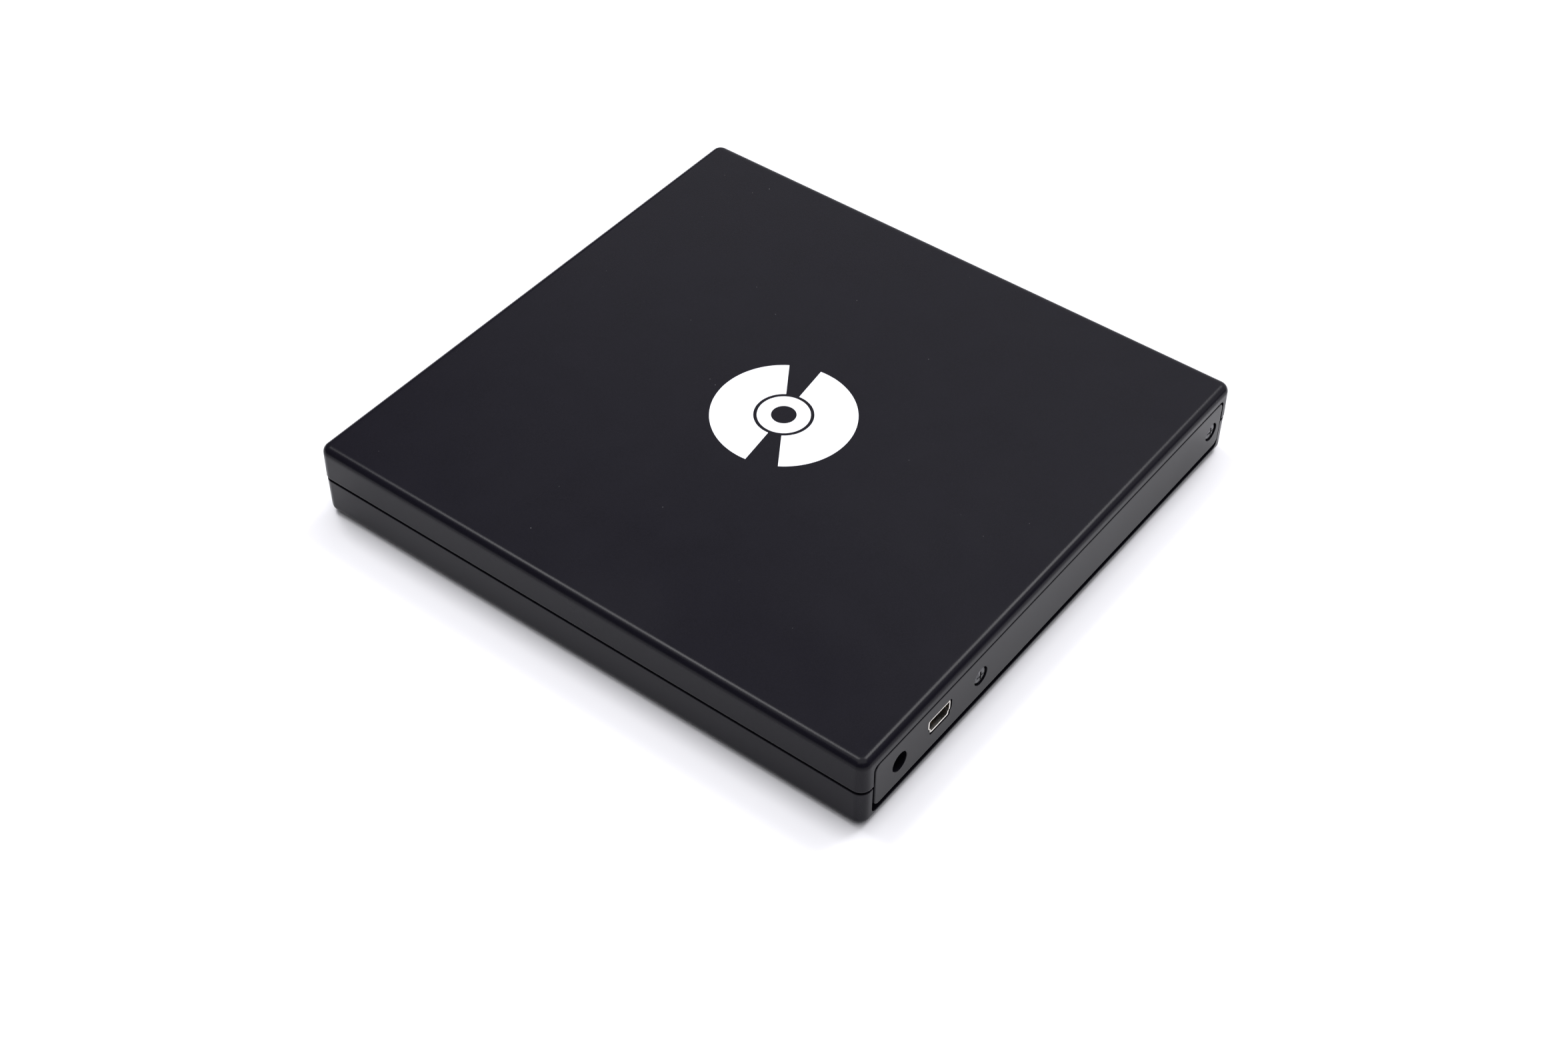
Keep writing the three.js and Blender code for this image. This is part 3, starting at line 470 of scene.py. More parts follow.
def carve(piece, tools, operation="DIFFERENCE"):
    """Takes the tools away from the piece, or joins them to it, with an exact boolean."""
    for tool in tools:
        step = piece.modifiers.new("carve", "BOOLEAN")
        step.object, step.operation, step.solver = tool, operation, "EXACT"
        flatten(piece)
        bpy.data.objects.remove(tool)
    return piece


print("mesh tools ready")

# %% [markdown]
# ## Dressing
# Each new piece stands for one CAD node, or is an extra that rides on a named body. `dress` gives
# it its finish, lets it ride on the body its node rides on, and smooths its faces except across
# real edges.


def span(node):
    """A CAD node's lowest and highest corners, in millimetres."""
    low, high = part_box(node)
    return np.array(low) / MM, np.array(high) / MM


def dress(piece, finish, *nodes, body=None, sharp=35):
    """Finish, body and replaced nodes of a piece; edges above the sharp angle stay crisp."""
    piece.data.materials.clear()
    piece.data.materials.append(finish)
    piece.data.shade_smooth()
    piece.data.set_sharp_from_angle(angle=math.radians(sharp))
    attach(piece, body or body_of(frame["nodes"][nodes[0]])[0])
    if nodes:
        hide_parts(*nodes)
    print(piece.name, "faces:", len(piece.data.polygons))
    return piece


# %% [markdown]
# ## Profiles
# Four small formulas give nearly all the shapes: an arc, a profile carried round a rectangle with
# round corners, an outline whose corners are eased by short curves, and a profile spun about an
# axis, with a screw thread if it needs one.

# %% Arc, carried profile, eased outline, spun profile
def arc(centre, radius, start, end, steps=8):
    """Points centre + radius (cos a, sin a), with a running from start to end in degrees."""
    angle = np.radians(np.linspace(start, end, steps + 1))
    return [tuple(p) for p in centre + radius * np.stack([np.cos(angle), np.sin(angle)], axis=1)]


def carried_round(half_x, half_y, corner, profile, steps=8, middle=(0, 0)):
    """A profile of (inset, height) carried round a rectangle with round corners. At inset d the
    half sizes are d less and the corner radius is corner - d, but never under 0.25 mm."""
    inset, height = np.asarray(profile, float).T
    radius = np.maximum(corner - inset, 0.25)
    angle = (np.arange(4)[:, None] + np.linspace(0, 1, steps + 1)) * TURN / 4
    outward = np.stack([np.cos(angle), np.sin(angle)], axis=-1)
    side = np.array([[1, 1], [-1, 1], [-1, -1], [1, -1]])
    centre = np.stack([half_x - inset - radius, half_y - inset - radius], axis=-1)
    flat = side[None, :, None] * centre[:, None, None] + radius[:, None, None, None] * outward
    flat = flat.reshape(len(inset), -1, 2) + np.asarray(middle, float)
    tall = np.broadcast_to(height[:, None, None], (*flat.shape[:2], 1))
    return np.concatenate([flat, tall], axis=-1)


def upright(rings):
    """Stands a plan drawn in X and Y up in X and Z, so that heights run along Y."""
    return np.asarray(rings)[..., [0, 2, 1]]


def block(low, high, corner=0.3, edge=0.15, wall=False, steps=4):
    """A bar between two corners, its upright corners and both rims rounded. wall=True rounds it
    as seen from the front instead, with the rims at its front and back."""
    low, high = np.asarray(low, float), np.asarray(high, float)
    if wall:
        low, high = low[[0, 2, 1]], high[[0, 2, 1]]
    half, middle = (high - low) / 2, (high + low) / 2
    z0, z1 = low[2], high[2]
    inner = min(half[0], half[1]) * 0.5
    rim_low = arc((edge, z0 + edge), edge, 270, 180, steps)
    rim_high = arc((edge, z1 - edge), edge, 180, 90, steps)
    profile = [(inner, z0)] + rim_low + rim_high + [(inner, z1)]
    rings = carried_round(half[0], half[1], corner, profile, steps, middle[:2])
    return upright(rings) if wall else rings


def eased(points, reach, steps=4):
    """A closed outline with eased corners: corner C becomes (1-t)^2 A + 2t(1-t) C + t^2 B, where
    A and B lie reach before and after it on its two edges, or 0.45 of a shorter edge."""
    corner = np.asarray(points, float)
    t = np.linspace(0, 1, steps + 1)[None, :, None]
    ends = []
    for neighbour in (np.roll(corner, 1, axis=0), np.roll(corner, -1, axis=0)):
        gap = neighbour - corner
        length = np.linalg.norm(gap, axis=1, keepdims=True)
        ends.append(corner + gap * np.minimum(reach / length, 0.45))
    before, after = ends[0][:, None], ends[1][:, None]
    curve = (1 - t) ** 2 * before + 2 * t * (1 - t) * corner[:, None] + t ** 2 * after
    return curve.reshape(-1, 2)


def spun(profile, centre=(0, 0, 0), axis="Z", sides=64, thread=None):
    """A profile of (radius, height) spun about an axis through centre. thread is (depth, pitch,
    start, end): between those heights the radius also gains depth times a rounded ridge of the
    phase height / pitch - angle / turn, which makes a helix. The cosine of that phase is scaled
    and clipped, so the ridge gets a flat crest and a flat root."""
    radius, height = np.asarray(profile, float).T
    angle = np.arange(sides) / sides * TURN
    wide = np.repeat(radius[:, None], sides, axis=1)
    if thread:
        depth, pitch, start, end = thread
        phase = TURN * height[:, None] / pitch - angle[None]
        ridge = np.clip(0.5 + 1.1 * np.cos(phase), 0, 1)
        inside = ((height >= start) & (height <= end))[:, None]
        wide = wide + depth * ridge * inside
    tall = np.broadcast_to(height[:, None], wide.shape)
    rings = np.stack([wide * np.cos(angle), wide * np.sin(angle), tall], axis=-1)
    order = {"Z": [0, 1, 2], "Y": [0, 2, 1], "X": [2, 0, 1]}[axis]
    return rings[..., order] + np.asarray(centre, float)


print("points round a fillet:", len(arc((0, 0), 2, 0, 90)))

# %% [markdown]
# ## The two case covers
# A hollowed and bevelled box would pass from outside, but a moulded cover has more: here it is one
# wall section carried round the footprint, with lid, fillet, side with a little draft, seam edge,
# the rebate or lip of the seam joint, and the inner wall. The lid sits 0.03 mm below the CAD lid,
# which leaves room for the printed ink on top. The upper cover is drawn a tenth of a millimetre
# prouder than the lower one at the seam, as moulded pairs are. The openings for the panel and the
# drive bezel are cut at the end.

# %% Case covers
CASE_CORNER, TOP_FILLET, BOTTOM_FILLET, WALL = 2.7, 2.0, 1.6, 2.0
CEILING_FILLET, TUB_FILLET = 0.5, 0.6
DRAFT = 0.10
INK_ROOM = 0.03
SEAM_Z, SEAM_GAP, SEAM_EDGE, SEAM_STEP = 10.9, 0.8, 0.12, 0.12
LIP_HEIGHT, LIP_OUTER, LIP_INNER, LIP_CLEARANCE, LIP_CHAMFER, LIP_ROOT = 1.2, 1.1, 1.9, 0.3, 0.2, 2
BACK_OPENING = {"half": 68.1, "heights": (2.5, 17.06), "corner": 1.5}
FRONT_OPENING = {"half": 64.35, "heights": (3.8, 17.1), "corner": 1.0}
FLAT_INSET = 8
GUARD = 0.4
HALF_X, HALF_Y, CASE_TOP = span("top_cover")[1]
LID_Z = CASE_TOP - INK_ROOM
FLOOR_Z = span("bottom_cover")[0][2]


def wall_opening(name, opening, start, end):
    """A cutter for an opening in a wall, from start to end along Y."""
    bottom, top = opening["heights"]
    low, high = (-opening["half"], start, bottom), (opening["half"], end, top)
    return surface(name, block(low, high, opening["corner"], 0.05, wall=True))


def wall_openings():
    """Cutters for the back panel's opening and the front opening of the drive bezel."""
    back = wall_opening("back opening", BACK_OPENING, HALF_Y - 4, HALF_Y + 1)
    front = wall_opening("front opening", FRONT_OPENING, -HALF_Y - 1, -HALF_Y + 4)
    return [back, front]


def make_top_cover():
    """Rings run from the middle of the lid out over the edge, down to the seam and back inside.
    A ring a little way from each fillet keeps the flat next to it flat in the shading."""
    start = TOP_FILLET + DRAFT
    seam = SEAM_Z + SEAM_GAP / 2
    rebate = LIP_OUTER - LIP_CLEARANCE
    rebate_top = SEAM_Z + LIP_HEIGHT + LIP_CLEARANCE
    ceiling = CASE_TOP - WALL
    outside = [(FLAT_INSET, LID_Z), (start + 0.5, LID_Z)]
    outside += arc((start, LID_Z - TOP_FILLET), TOP_FILLET, 90, 180, 10)
    side = [(DRAFT * 0.9, LID_Z - TOP_FILLET - GUARD), (0.01, seam + GUARD)]
    edge = arc((SEAM_EDGE, seam + SEAM_EDGE), SEAM_EDGE, 180, 270, 3)
    inside = [(rebate, seam), (rebate, rebate_top), (WALL, rebate_top), (WALL, ceiling - CEILING_FILLET)]
    inside += arc((WALL + CEILING_FILLET, ceiling - CEILING_FILLET), CEILING_FILLET, 180, 90, 3)
    inside.append((FLAT_INSET, ceiling))
    rings = carried_round(HALF_X, HALF_Y, CASE_CORNER, outside + side + edge + inside, 10)
    return surface("top_cover_moulding", rings)


def make_bottom_cover():
    """The same idea upside down; the lip stands up inside the seam."""
    start = BOTTOM_FILLET + 2 * DRAFT
    seam = SEAM_Z - SEAM_GAP / 2
    lip_top, lip_shoulder = SEAM_Z + LIP_HEIGHT, SEAM_Z + LIP_HEIGHT - LIP_CHAMFER
    floor = FLOOR_Z + WALL
    outside = [(FLAT_INSET, FLOOR_Z), (start + 0.5, FLOOR_Z)]
    outside += arc((start, FLOOR_Z + BOTTOM_FILLET), BOTTOM_FILLET, 270, 180, 10)
    side = [(2 * DRAFT - 0.02, FLOOR_Z + BOTTOM_FILLET + GUARD), (SEAM_STEP + 0.01, seam - GUARD)]
    edge = arc((SEAM_STEP + SEAM_EDGE, seam - SEAM_EDGE), SEAM_EDGE, 180, 90, 3)
    lip = [(LIP_OUTER, seam), (LIP_OUTER, lip_shoulder), (LIP_OUTER + LIP_CHAMFER, lip_top)]
    lip += [(LIP_INNER - LIP_CHAMFER, lip_top), (LIP_INNER, lip_shoulder), (LIP_INNER, seam - LIP_ROOT)]
    inside = [(WALL, seam - LIP_ROOT)]
    inside += arc((WALL + TUB_FILLET, floor + TUB_FILLET), TUB_FILLET, 180, 270, 3)
    inside.append((FLAT_INSET, floor))
    rings = carried_round(HALF_X, HALF_Y, CASE_CORNER, outside + side + edge + lip + inside, 10)
    return surface("bottom_cover_moulding", rings)


top_cover = carve(make_top_cover(), wall_openings())
dress(top_cover, cover_plastic, "top_cover")

# %% [markdown]
# ## Inside the lower cover
# The lower cover also holds ribs under the drive, two bosses for the panel screws, a post for the
# adapter board, and four round recesses for the feet. They don't follow the wall section, so they
# are joined to it or cut from it, as a mould maker adds them.

# %% Ribs, bosses and recesses of the lower cover
FIT = 0.3
RIB_X, RIB_HALF, RIB_ENDS = (-48, 0, 48), 1, (-66, 52)
BOSS_HALF, BOSS_ENDS = 3, (63, 71.2)
POST_MIDDLE, POST_HALF = (52, 62), 2
PILOT_RADIUS, PILOT_ENDS = 1.4, (64, 72)
SCREW_X = [np.mean([c[0] for c in span(f"back_screw_{i}")]) for i in (1, 2)]
SCREW_Z = np.mean([c[2] for c in span("back_screw_1")])
FOOT_MIDDLES = [sum(span(f"foot_{i}")) / 2 for i in (1, 2, 3, 4)]
FOOT_RADIUS = (span("foot_1")[1] - span("foot_1")[0])[0] / 2
FOOT_RECESS, RECESS_CHAMFER = 0.5, 0.12


def stand(middle, half, top, corner, edge):
    """A bar that stands on the tub's floor, half wide each way, with its root inside the floor."""
    low, high = np.subtract(middle, half), np.add(middle, half)
    root = FLOOR_Z + WALL - 0.5
    return surface("inner part", block((*low, root), (*high, top), corner, edge))


def inner_parts():
    """Three ribs under the drive, a boss for each panel screw, and a post under the board."""
    rib_y, boss_y = np.mean(RIB_ENDS), np.mean(BOSS_ENDS)
    rib_half = (RIB_HALF, RIB_ENDS[1] - rib_y)
    boss_half = (BOSS_HALF, BOSS_ENDS[1] - boss_y)
    under_drive = span("drive_pan")[0][2] - FIT
    under_board = span("adapter_board")[0][2] - FIT
    parts = [stand((x, rib_y), rib_half, under_drive, 0.3, 0.2) for x in RIB_X]
    parts += [stand((x, boss_y), boss_half, SCREW_Z + BOSS_HALF, 0.6, 0.3) for x in SCREW_X]
    return parts + [stand(POST_MIDDLE, POST_HALF, under_board, 0.5, 0.2)]


def foot_recess(middle):
    """A shallow round pocket with a chamfered mouth, wider than the foot by FIT all round."""
    mouth, roof = FOOT_RADIUS + FIT, FLOOR_Z + FOOT_RECESS
    flare = mouth + RECESS_CHAMFER
    profile = [(0, -1), (flare, -1), (flare, FLOOR_Z), (mouth, FLOOR_Z + RECESS_CHAMFER)]
    profile += [(mouth, roof), (0, roof)]
    return surface("recess", spun(profile, (middle[0], middle[1], 0)), "pole")


def pilot_hole(x):
    """A round hole for a screw, along Y through the boss."""
    start, end = PILOT_ENDS
    profile = [(0, start), (PILOT_RADIUS, start), (PILOT_RADIUS, end), (0, end)]
    return surface("pilot", spun(profile, (x, 0, SCREW_Z), "Y", 24), "pole")


bottom_cover = carve(make_bottom_cover(), inner_parts(), "UNION")
recesses = [foot_recess(middle) for middle in FOOT_MIDDLES]
pilots = [pilot_hole(x) for x in SCREW_X]
carve(bottom_cover, recesses + pilots + wall_openings())
dress(bottom_cover, cover_plastic, "bottom_cover")

# %% [markdown]
# ## Back panel
# The panel is a separate smooth insert: a plate with round corners in the opening, a narrow neck,
# and a wider flange behind the case wall that keeps it in. Three stacked plates would leave seams,
# so it is one profile of (inset, depth) carried round its outline. The socket openings and the
# two stepped screw recesses are cut through it; the round one and the recesses flare a little at the
# face.

# %% Back panel
PANEL_BOTTOM, PANEL_TOP = 4.35, 16.8
PANEL_MIDDLE = (0, (PANEL_BOTTOM + PANEL_TOP) / 2)
PANEL_HALF = (67.6, PANEL_TOP - PANEL_MIDDLE[1])
PANEL_CORNER, PANEL_EDGE, PANEL_FLAT = 1.7, 0.22, 3
PLATE_DEPTH, NECK_INSET, NECK_DEPTH, FLANGE_REACH, FLANGE_DEPTH = 2, 0.65, 2.3, 0.9, 3.5
FACE_Y = HALF_Y
JACK_X, JACK_Z, JACK_HOLE, JACK_BORE, JACK_FLARE = 59.1, 10.44, 2.41, 1.75, 0.14
USB_X, USB_HALF, USB_LOW_HALF = 45, 3.9, 3.3
USB_TOP, USB_SHOULDER, USB_BOTTOM = 12.95, 10.45, 8.9
USB_SKIN, USB_ROOM = 0.35, 0.3
HEAD_RECESS, HEAD_RECESS_DEPTH, HEAD_FLARE = 2.3, 0.9, 0.1


def usb_outline(margin, reach):
    """The socket's outline: wide at the top, stepped in at the lower corners, grown by margin."""
    wide, narrow = USB_HALF + margin, USB_LOW_HALF + margin
    top, bottom = USB_TOP + margin, USB_BOTTOM - margin
    right = [(narrow, bottom), (narrow, USB_SHOULDER - 0.5), (wide, USB_SHOULDER), (wide, top)]
    left = [(-x, z) for x, z in right[::-1]]
    outline = eased(right + left, reach)
    return outline + (USB_X, 0)


def walled(outline, depths):
    """The same outline, drawn in X and Z, at each depth along Y."""
    return np.stack([np.insert(outline, 1, depth, axis=1) for depth in depths])


def flared(radius, flare, high):
    """The end of a hole's profile: it widens by flare just where it meets the panel's face."""
    wide = radius + flare
    start = (radius, FACE_Y + 0.02 - flare)
    return [start, (wide, FACE_Y + 0.02), (wide, high), (0, high)]


def panel_tools():
    """Cutters for the round jack hole, the shaped socket hole and the two stepped recesses."""
    low, high = FACE_Y - 5, FACE_Y + 1
    jack = [(0, low), (JACK_HOLE, low)] + flared(JACK_HOLE, JACK_FLARE, high)
    tools = [surface("jack hole", spun(jack, (JACK_X, 0, JACK_Z), "Y", 72), "pole")]
    tools.append(surface("usb hole", walled(usb_outline(USB_ROOM, 0.7), (low, high))))
    step = FACE_Y - HEAD_RECESS_DEPTH
    recess = [(0, low), (PILOT_RADIUS, low), (PILOT_RADIUS, step), (HEAD_RECESS, step)]
    recess += flared(HEAD_RECESS, HEAD_FLARE, high)
    for x in SCREW_X:
        tools.append(surface("recess", spun(recess, (x, 0, SCREW_Z), "Y", 64), "pole"))
    return tools


def make_panel():
    """Plate, neck and flange as one profile, then the openings."""
    plate, neck, flange = FACE_Y - PLATE_DEPTH, FACE_Y - NECK_DEPTH, FACE_Y - FLANGE_DEPTH
    profile = [(PANEL_FLAT, FACE_Y), (PANEL_EDGE + 0.3, FACE_Y)]
    profile += arc((PANEL_EDGE, FACE_Y - PANEL_EDGE), PANEL_EDGE, 90, 180, 4)
    profile += [(0, plate), (NECK_INSET, plate), (NECK_INSET, neck), (-FLANGE_REACH, neck)]
    profile += [(-FLANGE_REACH, flange), (PANEL_FLAT, flange)]
    rings = carried_round(*PANEL_HALF, PANEL_CORNER, profile, 8, PANEL_MIDDLE)
    return carve(surface("back_panel_insert", upright(rings)), panel_tools())


dress(make_panel(), panel_plastic, "back_panel")

# %% [markdown]
# ## Panel screws
# Each panel screw has a low domed head with a tapered cross recess, and a threaded shank. The
# thread could be a swept ridge, but letting the radius of a spun shank follow a helix keeps the
# screw one closed surface. The cross is cut with two wedges that narrow with depth.

# %% Panel screws
def cross_tools(x, z, mouth, depth, half_length, half_width):
    """Two crossing wedges that narrow with depth: rectangles that shrink inwards."""
    corner = np.array([[-1, -1], [1, -1], [1, 1], [-1, 1]])
    tools = []
    for a, b in ((half_length, half_width), (half_width, half_length)):
        steps = ((mouth + 0.3, 1.1), (mouth, 1.0), (mouth - depth, 0.62))
        rings = [np.insert(corner * (a * k, b * k) + (x, z), 1, y, axis=1) for y, k in steps]
        tools.append(surface("cross wedge", np.stack(rings)))
    return tools


SEAT_Y, CROWN_Y, TIP_Y = FACE_Y - 0.85, FACE_Y - 0.1, 66.0
HEAD_RADIUS, SHANK_RADIUS, COLLAR_RADIUS, HEAD_EDGE = 2.05, 0.85, 1.0, 0.45
THREAD_DEPTH, THREAD_PITCH, THREAD_STEP = 0.22, 0.8, 0.125
CROSS_DEPTH, CROSS_HALF_LENGTH, CROSS_HALF_WIDTH = 0.7, 1.3, 0.28


def panel_screw(index, x):
    """Profile from the tip: chamfer, threaded shank, seat, head edge and a dome that falls from
    its crown with the power 2.4 of the radius."""
    rim = SEAT_Y + HEAD_EDGE
    threads = [(SHANK_RADIUS, y) for y in np.arange(TIP_Y + 0.5, SEAT_Y - 0.6, THREAD_STEP)]
    profile = [(0, TIP_Y), (0.5, TIP_Y)] + threads
    profile += [(COLLAR_RADIUS, SEAT_Y - 0.3), (COLLAR_RADIUS, SEAT_Y), (HEAD_RADIUS - 0.1, SEAT_Y)]
    profile += [(HEAD_RADIUS, SEAT_Y + 0.1), (HEAD_RADIUS, rim - 0.05)]
    t = np.linspace(0.93, 0, 9)
    profile += list(zip(HEAD_RADIUS * t, rim + (CROWN_Y - rim) * (1 - t ** 2.4)))
    thread = (THREAD_DEPTH, THREAD_PITCH, TIP_Y + 0.6, SEAT_Y - 0.7)
    rings = spun(profile, (x, 0, SCREW_Z), "Y", 48, thread)
    screw = surface(f"panel_screw_{index}", rings, "pole")
    carve(screw, cross_tools(x, SCREW_Z, CROWN_Y, CROSS_DEPTH, CROSS_HALF_LENGTH, CROSS_HALF_WIDTH))
    return dress(screw, screw_steel, f"back_screw_{index}")


for i, x in enumerate(SCREW_X):
    panel_screw(i + 1, x)

# %% [markdown]
# ## Feet
# The feet are soft discs glued into the recesses, with a dished sole that grips by its rim. They
# are turned shapes, so half a section spun about an upright axis is all they need.

# %% Feet
FOOT_DISH, FOOT_RIM = 0.12, 0.3


def rubber_foot(index, middle):
    """Half section: dished sole, rounded rim, straight side and the glued face."""
    high = span("foot_1")[1][2]
    r = FOOT_RADIUS
    sole = [(0, FOOT_DISH), (r * 0.5, FOOT_DISH * 0.75), (r - 2 * FOOT_RIM, 0), (r - 0.35, 0)]
    rim = arc((r - FOOT_RIM, FOOT_RIM), FOOT_RIM, 290, 360, 4)
    top = [(r, high - 0.1), (r - 0.1, high), (0, high)]
    foot = surface(f"rubber_foot_{index}", spun(sole + rim + top, (*middle[:2], 0)), "pole")
    return dress(foot, rubber, f"foot_{index}")


for i, middle in enumerate(FOOT_MIDDLES):
    rubber_foot(i + 1, middle)

# %% [markdown]
# ## Data socket
# The small data socket is a drawn nickel shell with stepped lower corners. Solidify could give a
# sheet its thickness, but an outer and an inner outline joined at the rim and closed at the back
# also give the rounded lip. A black tongue with five gilt contacts stands in it.

# %% Data socket
TONGUE_HALF, TONGUE_HEIGHTS, TONGUE_ENDS = 2.4, (10.5, 11.4), (68, 74)
TONGUE_BASE_ENDS = (66.55, 68.5)
CONTACT_HALF, CONTACT_PITCH, CONTACT_BOTTOM, CONTACT_ENDS = 0.17, 0.8, 10.32, (68.6, 73.4)
CONTACTS = range(-2, 3)


def make_usb_shell():
    """Outer outline forwards, over the rim, and the inner outline back to the blind end."""
    low, high = span("usb_socket_shell")
    outer, inner = usb_outline(0, 0.6), usb_outline(-USB_SKIN, 0.4)
    middle = (outer + inner) / 2
    rings = [walled(outer, (low[1], high[1] - 0.1)), walled(middle, (high[1],))]
    rings.append(walled(inner, (high[1] - 0.1, low[1] + 0.5)))
    return surface("usb_shell", np.concatenate(rings))


def make_usb_tongue():
    """A plug of the shell's inner outline with a rounded blade standing forward from it."""
    base = surface("usb_tongue", walled(usb_outline(-USB_SKIN - 0.05, 0.4), TONGUE_BASE_ENDS))
    low, high = zip((USB_X - TONGUE_HALF, USB_X + TONGUE_HALF), TONGUE_ENDS, TONGUE_HEIGHTS)
    return carve(base, [surface("blade", block(low, high, 0.25, 0.2))], "UNION")


def make_usb_contacts():
    """Five springy strips side by side: a rounded bar shifted along X by array arithmetic."""
    heights = (CONTACT_BOTTOM, TONGUE_HEIGHTS[0])
    bar = block(*zip((-CONTACT_HALF, CONTACT_HALF), CONTACT_ENDS, heights), 0.06, 0.05, steps=2)
    strips = [surface("strip", bar + (USB_X + CONTACT_PITCH * i, 0, 0)) for i in CONTACTS]
    return carve(strips[0], strips[1:], "UNION")


dress(make_usb_shell(), nickel, "usb_socket_shell")
dress(make_usb_tongue(), chip, "usb_socket_tongue")
usb_contacts = make_usb_contacts()
usb_contacts.name = "usb_contacts"
dress(usb_contacts, gold, body="case")

# %% [markdown]
# ## Power socket
# The round power socket is a black block with a bore and a round-nosed centre pin. Only the bore
# shows through the panel, so its chamfered mouth matters most: it is cut by one spun tool.

# %% Power socket
BORE_START, BORE_END, BORE_CHAMFER = 63, 75, 0.4


def make_power_jack():
    """A block with a bore that opens in a chamfer."""
    low, high = span("power_jack")
    body = surface("power_jack_body", block(low, high, 0.5, 0.3))
    mouth, wide = high[1] + 0.1, JACK_BORE + BORE_CHAMFER
    bore = [(0, BORE_START), (JACK_BORE, BORE_START), (JACK_BORE, mouth - BORE_CHAMFER)]
    bore += [(wide, mouth), (wide, BORE_END), (0, BORE_END)]
    return carve(body, [surface("bore", spun(bore, (JACK_X, 0, JACK_Z), "Y", 64), "pole")])


def make_jack_pin():
    """A round bar whose nose is a quarter circle spun round."""
    low, high = span("power_jack_pin")
    r = (high - low)[0] / 2
    nose = [(r * math.cos(a), high[1] - r + r * math.sin(a)) for a in np.linspace(0, TURN / 4, 7)]
    profile = [(0, low[1]), (r, low[1])] + nose
    return surface("power_pin", spun(profile, (JACK_X, 0, JACK_Z), "Y", 32), "pole")


dress(make_power_jack(), chip, "power_jack")
dress(make_jack_pin(), nickel, "power_jack_pin")

# %% [markdown]
# ## Printed disc mark
# The lid carries a plain pictogram of a disc in white ink: a ring for the rim of the hub and a
# wide ring for the playing surface, with two opposite wedges left bare where light would glint.
# A mask in the lid's material could draw it, but its edge would blur when the colours are baked.
# So each patch is a small section swept by angle, a real film of ink two hundredths of a
# millimetre thick that stands on the lid.

# %% Ink film
INK_Z = (LID_Z + 0.003, LID_Z + 0.023)
INK_MIDDLE = (0.0, 0.47)
HUB_RING, WIDE_RING = (2.9, 6.1), (6.9, 16.8)
GLINT, GLINT_HALF = 20, 13


def ink_patch(name, radii, start, end):
    """A sector of a ring: rings of four corners (inner and outer, low and high) swept by angle,
    where end - start is 360 for a whole ring."""
    whole = end - start >= 360
    steps = 96 if whole else 48
    angle = np.radians(np.linspace(start, end, steps + 1))
    angle = angle[:-1] if whole else angle
    corner = [(radii[0], INK_Z[0]), (radii[1], INK_Z[0]), (radii[1], INK_Z[1]), (radii[0], INK_Z[1])]
    reach, tall = np.array(corner).T
    x = INK_MIDDLE[0] + reach[None] * np.cos(angle)[:, None]
    y = INK_MIDDLE[1] + reach[None] * np.sin(angle)[:, None]
    rings = np.stack([x, y, np.broadcast_to(tall, x.shape)], axis=-1)
    return surface(name, rings, "loop" if whole else "cap")


lid_print = ink_patch("lid_print", HUB_RING, 0, 360)
halves = []
for side in (0, 180):
    start, end = side + GLINT + GLINT_HALF, side + GLINT + 180 - GLINT_HALF
    halves.append(ink_patch("half ring", WIDE_RING, start, end))
carve(lid_print, halves, "UNION")
dress(lid_print, white_ink, body="case")

# %% [markdown]
# ## Front of the tray
# The bezel is a thin plate with a rounded front rim. The eject button and the frosted light pipe
# sit in it with a hair's gap, and the small round hole is for a straightened paper clip. Their
# sizes come from the boxes of the CAD nodes, so the gaps stay right if those change.

# %% Bezel, button and light
PIN_HOLE, PIN_HOLE_RADIUS = (54, 0, 8), 0.7
CAP_DEPTH, STEM_HALF = 1.9, 1


def rimmed(low, high, corner, rim):
    """A plate seen from the front: a big rounded rim at the front and a crisp edge behind."""
    half = (high - low) / 2
    middle = (high + low) / 2
    front, back = low[1], high[1]
    profile = [(half[2] * 0.5, front), (rim + 0.3, front)]
    profile += arc((rim, front + rim), rim, 270, 180, 6)
    profile += [(0, back - 0.05), (0.05, back), (half[2] * 0.5, back)]
    rings = carried_round(half[0], half[2], corner, profile, 6, (middle[0], middle[2]))
    return upright(rings)


def grown(node, gap):
    """A CAD node's box, larger by gap in X and Z and long enough in Y to cut through a plate."""
    low, high = span(node)
    return low - (gap, 1, gap), high + (gap, 3, gap)


bezel_low, bezel_high = span("tray_bezel")
button_low, button_high = span("eject_button")
light_low, light_high = span("activity_light")
before, behind = bezel_low[1] - 1, bezel_high[1] + 1
pin = [(0, before), (PIN_HOLE_RADIUS + 0.2, before), (PIN_HOLE_RADIUS, bezel_low[1] + 0.2)]
pin += [(PIN_HOLE_RADIUS, behind), (0, behind)]
bezel = surface("bezel_plate", rimmed(bezel_low, bezel_high, 0.8, 0.45))
openings = [
    surface("button opening", block(*grown("eject_button", 0.3), 0.6, 0.1, wall=True)),
    surface("light opening", block(*grown("activity_light", 0.1), 0.3, 0.1, wall=True)),
    surface("pin opening", spun(pin, PIN_HOLE, "Y", 32), "pole"),
]
dress(carve(bezel, openings), bezel_plastic, "tray_bezel")

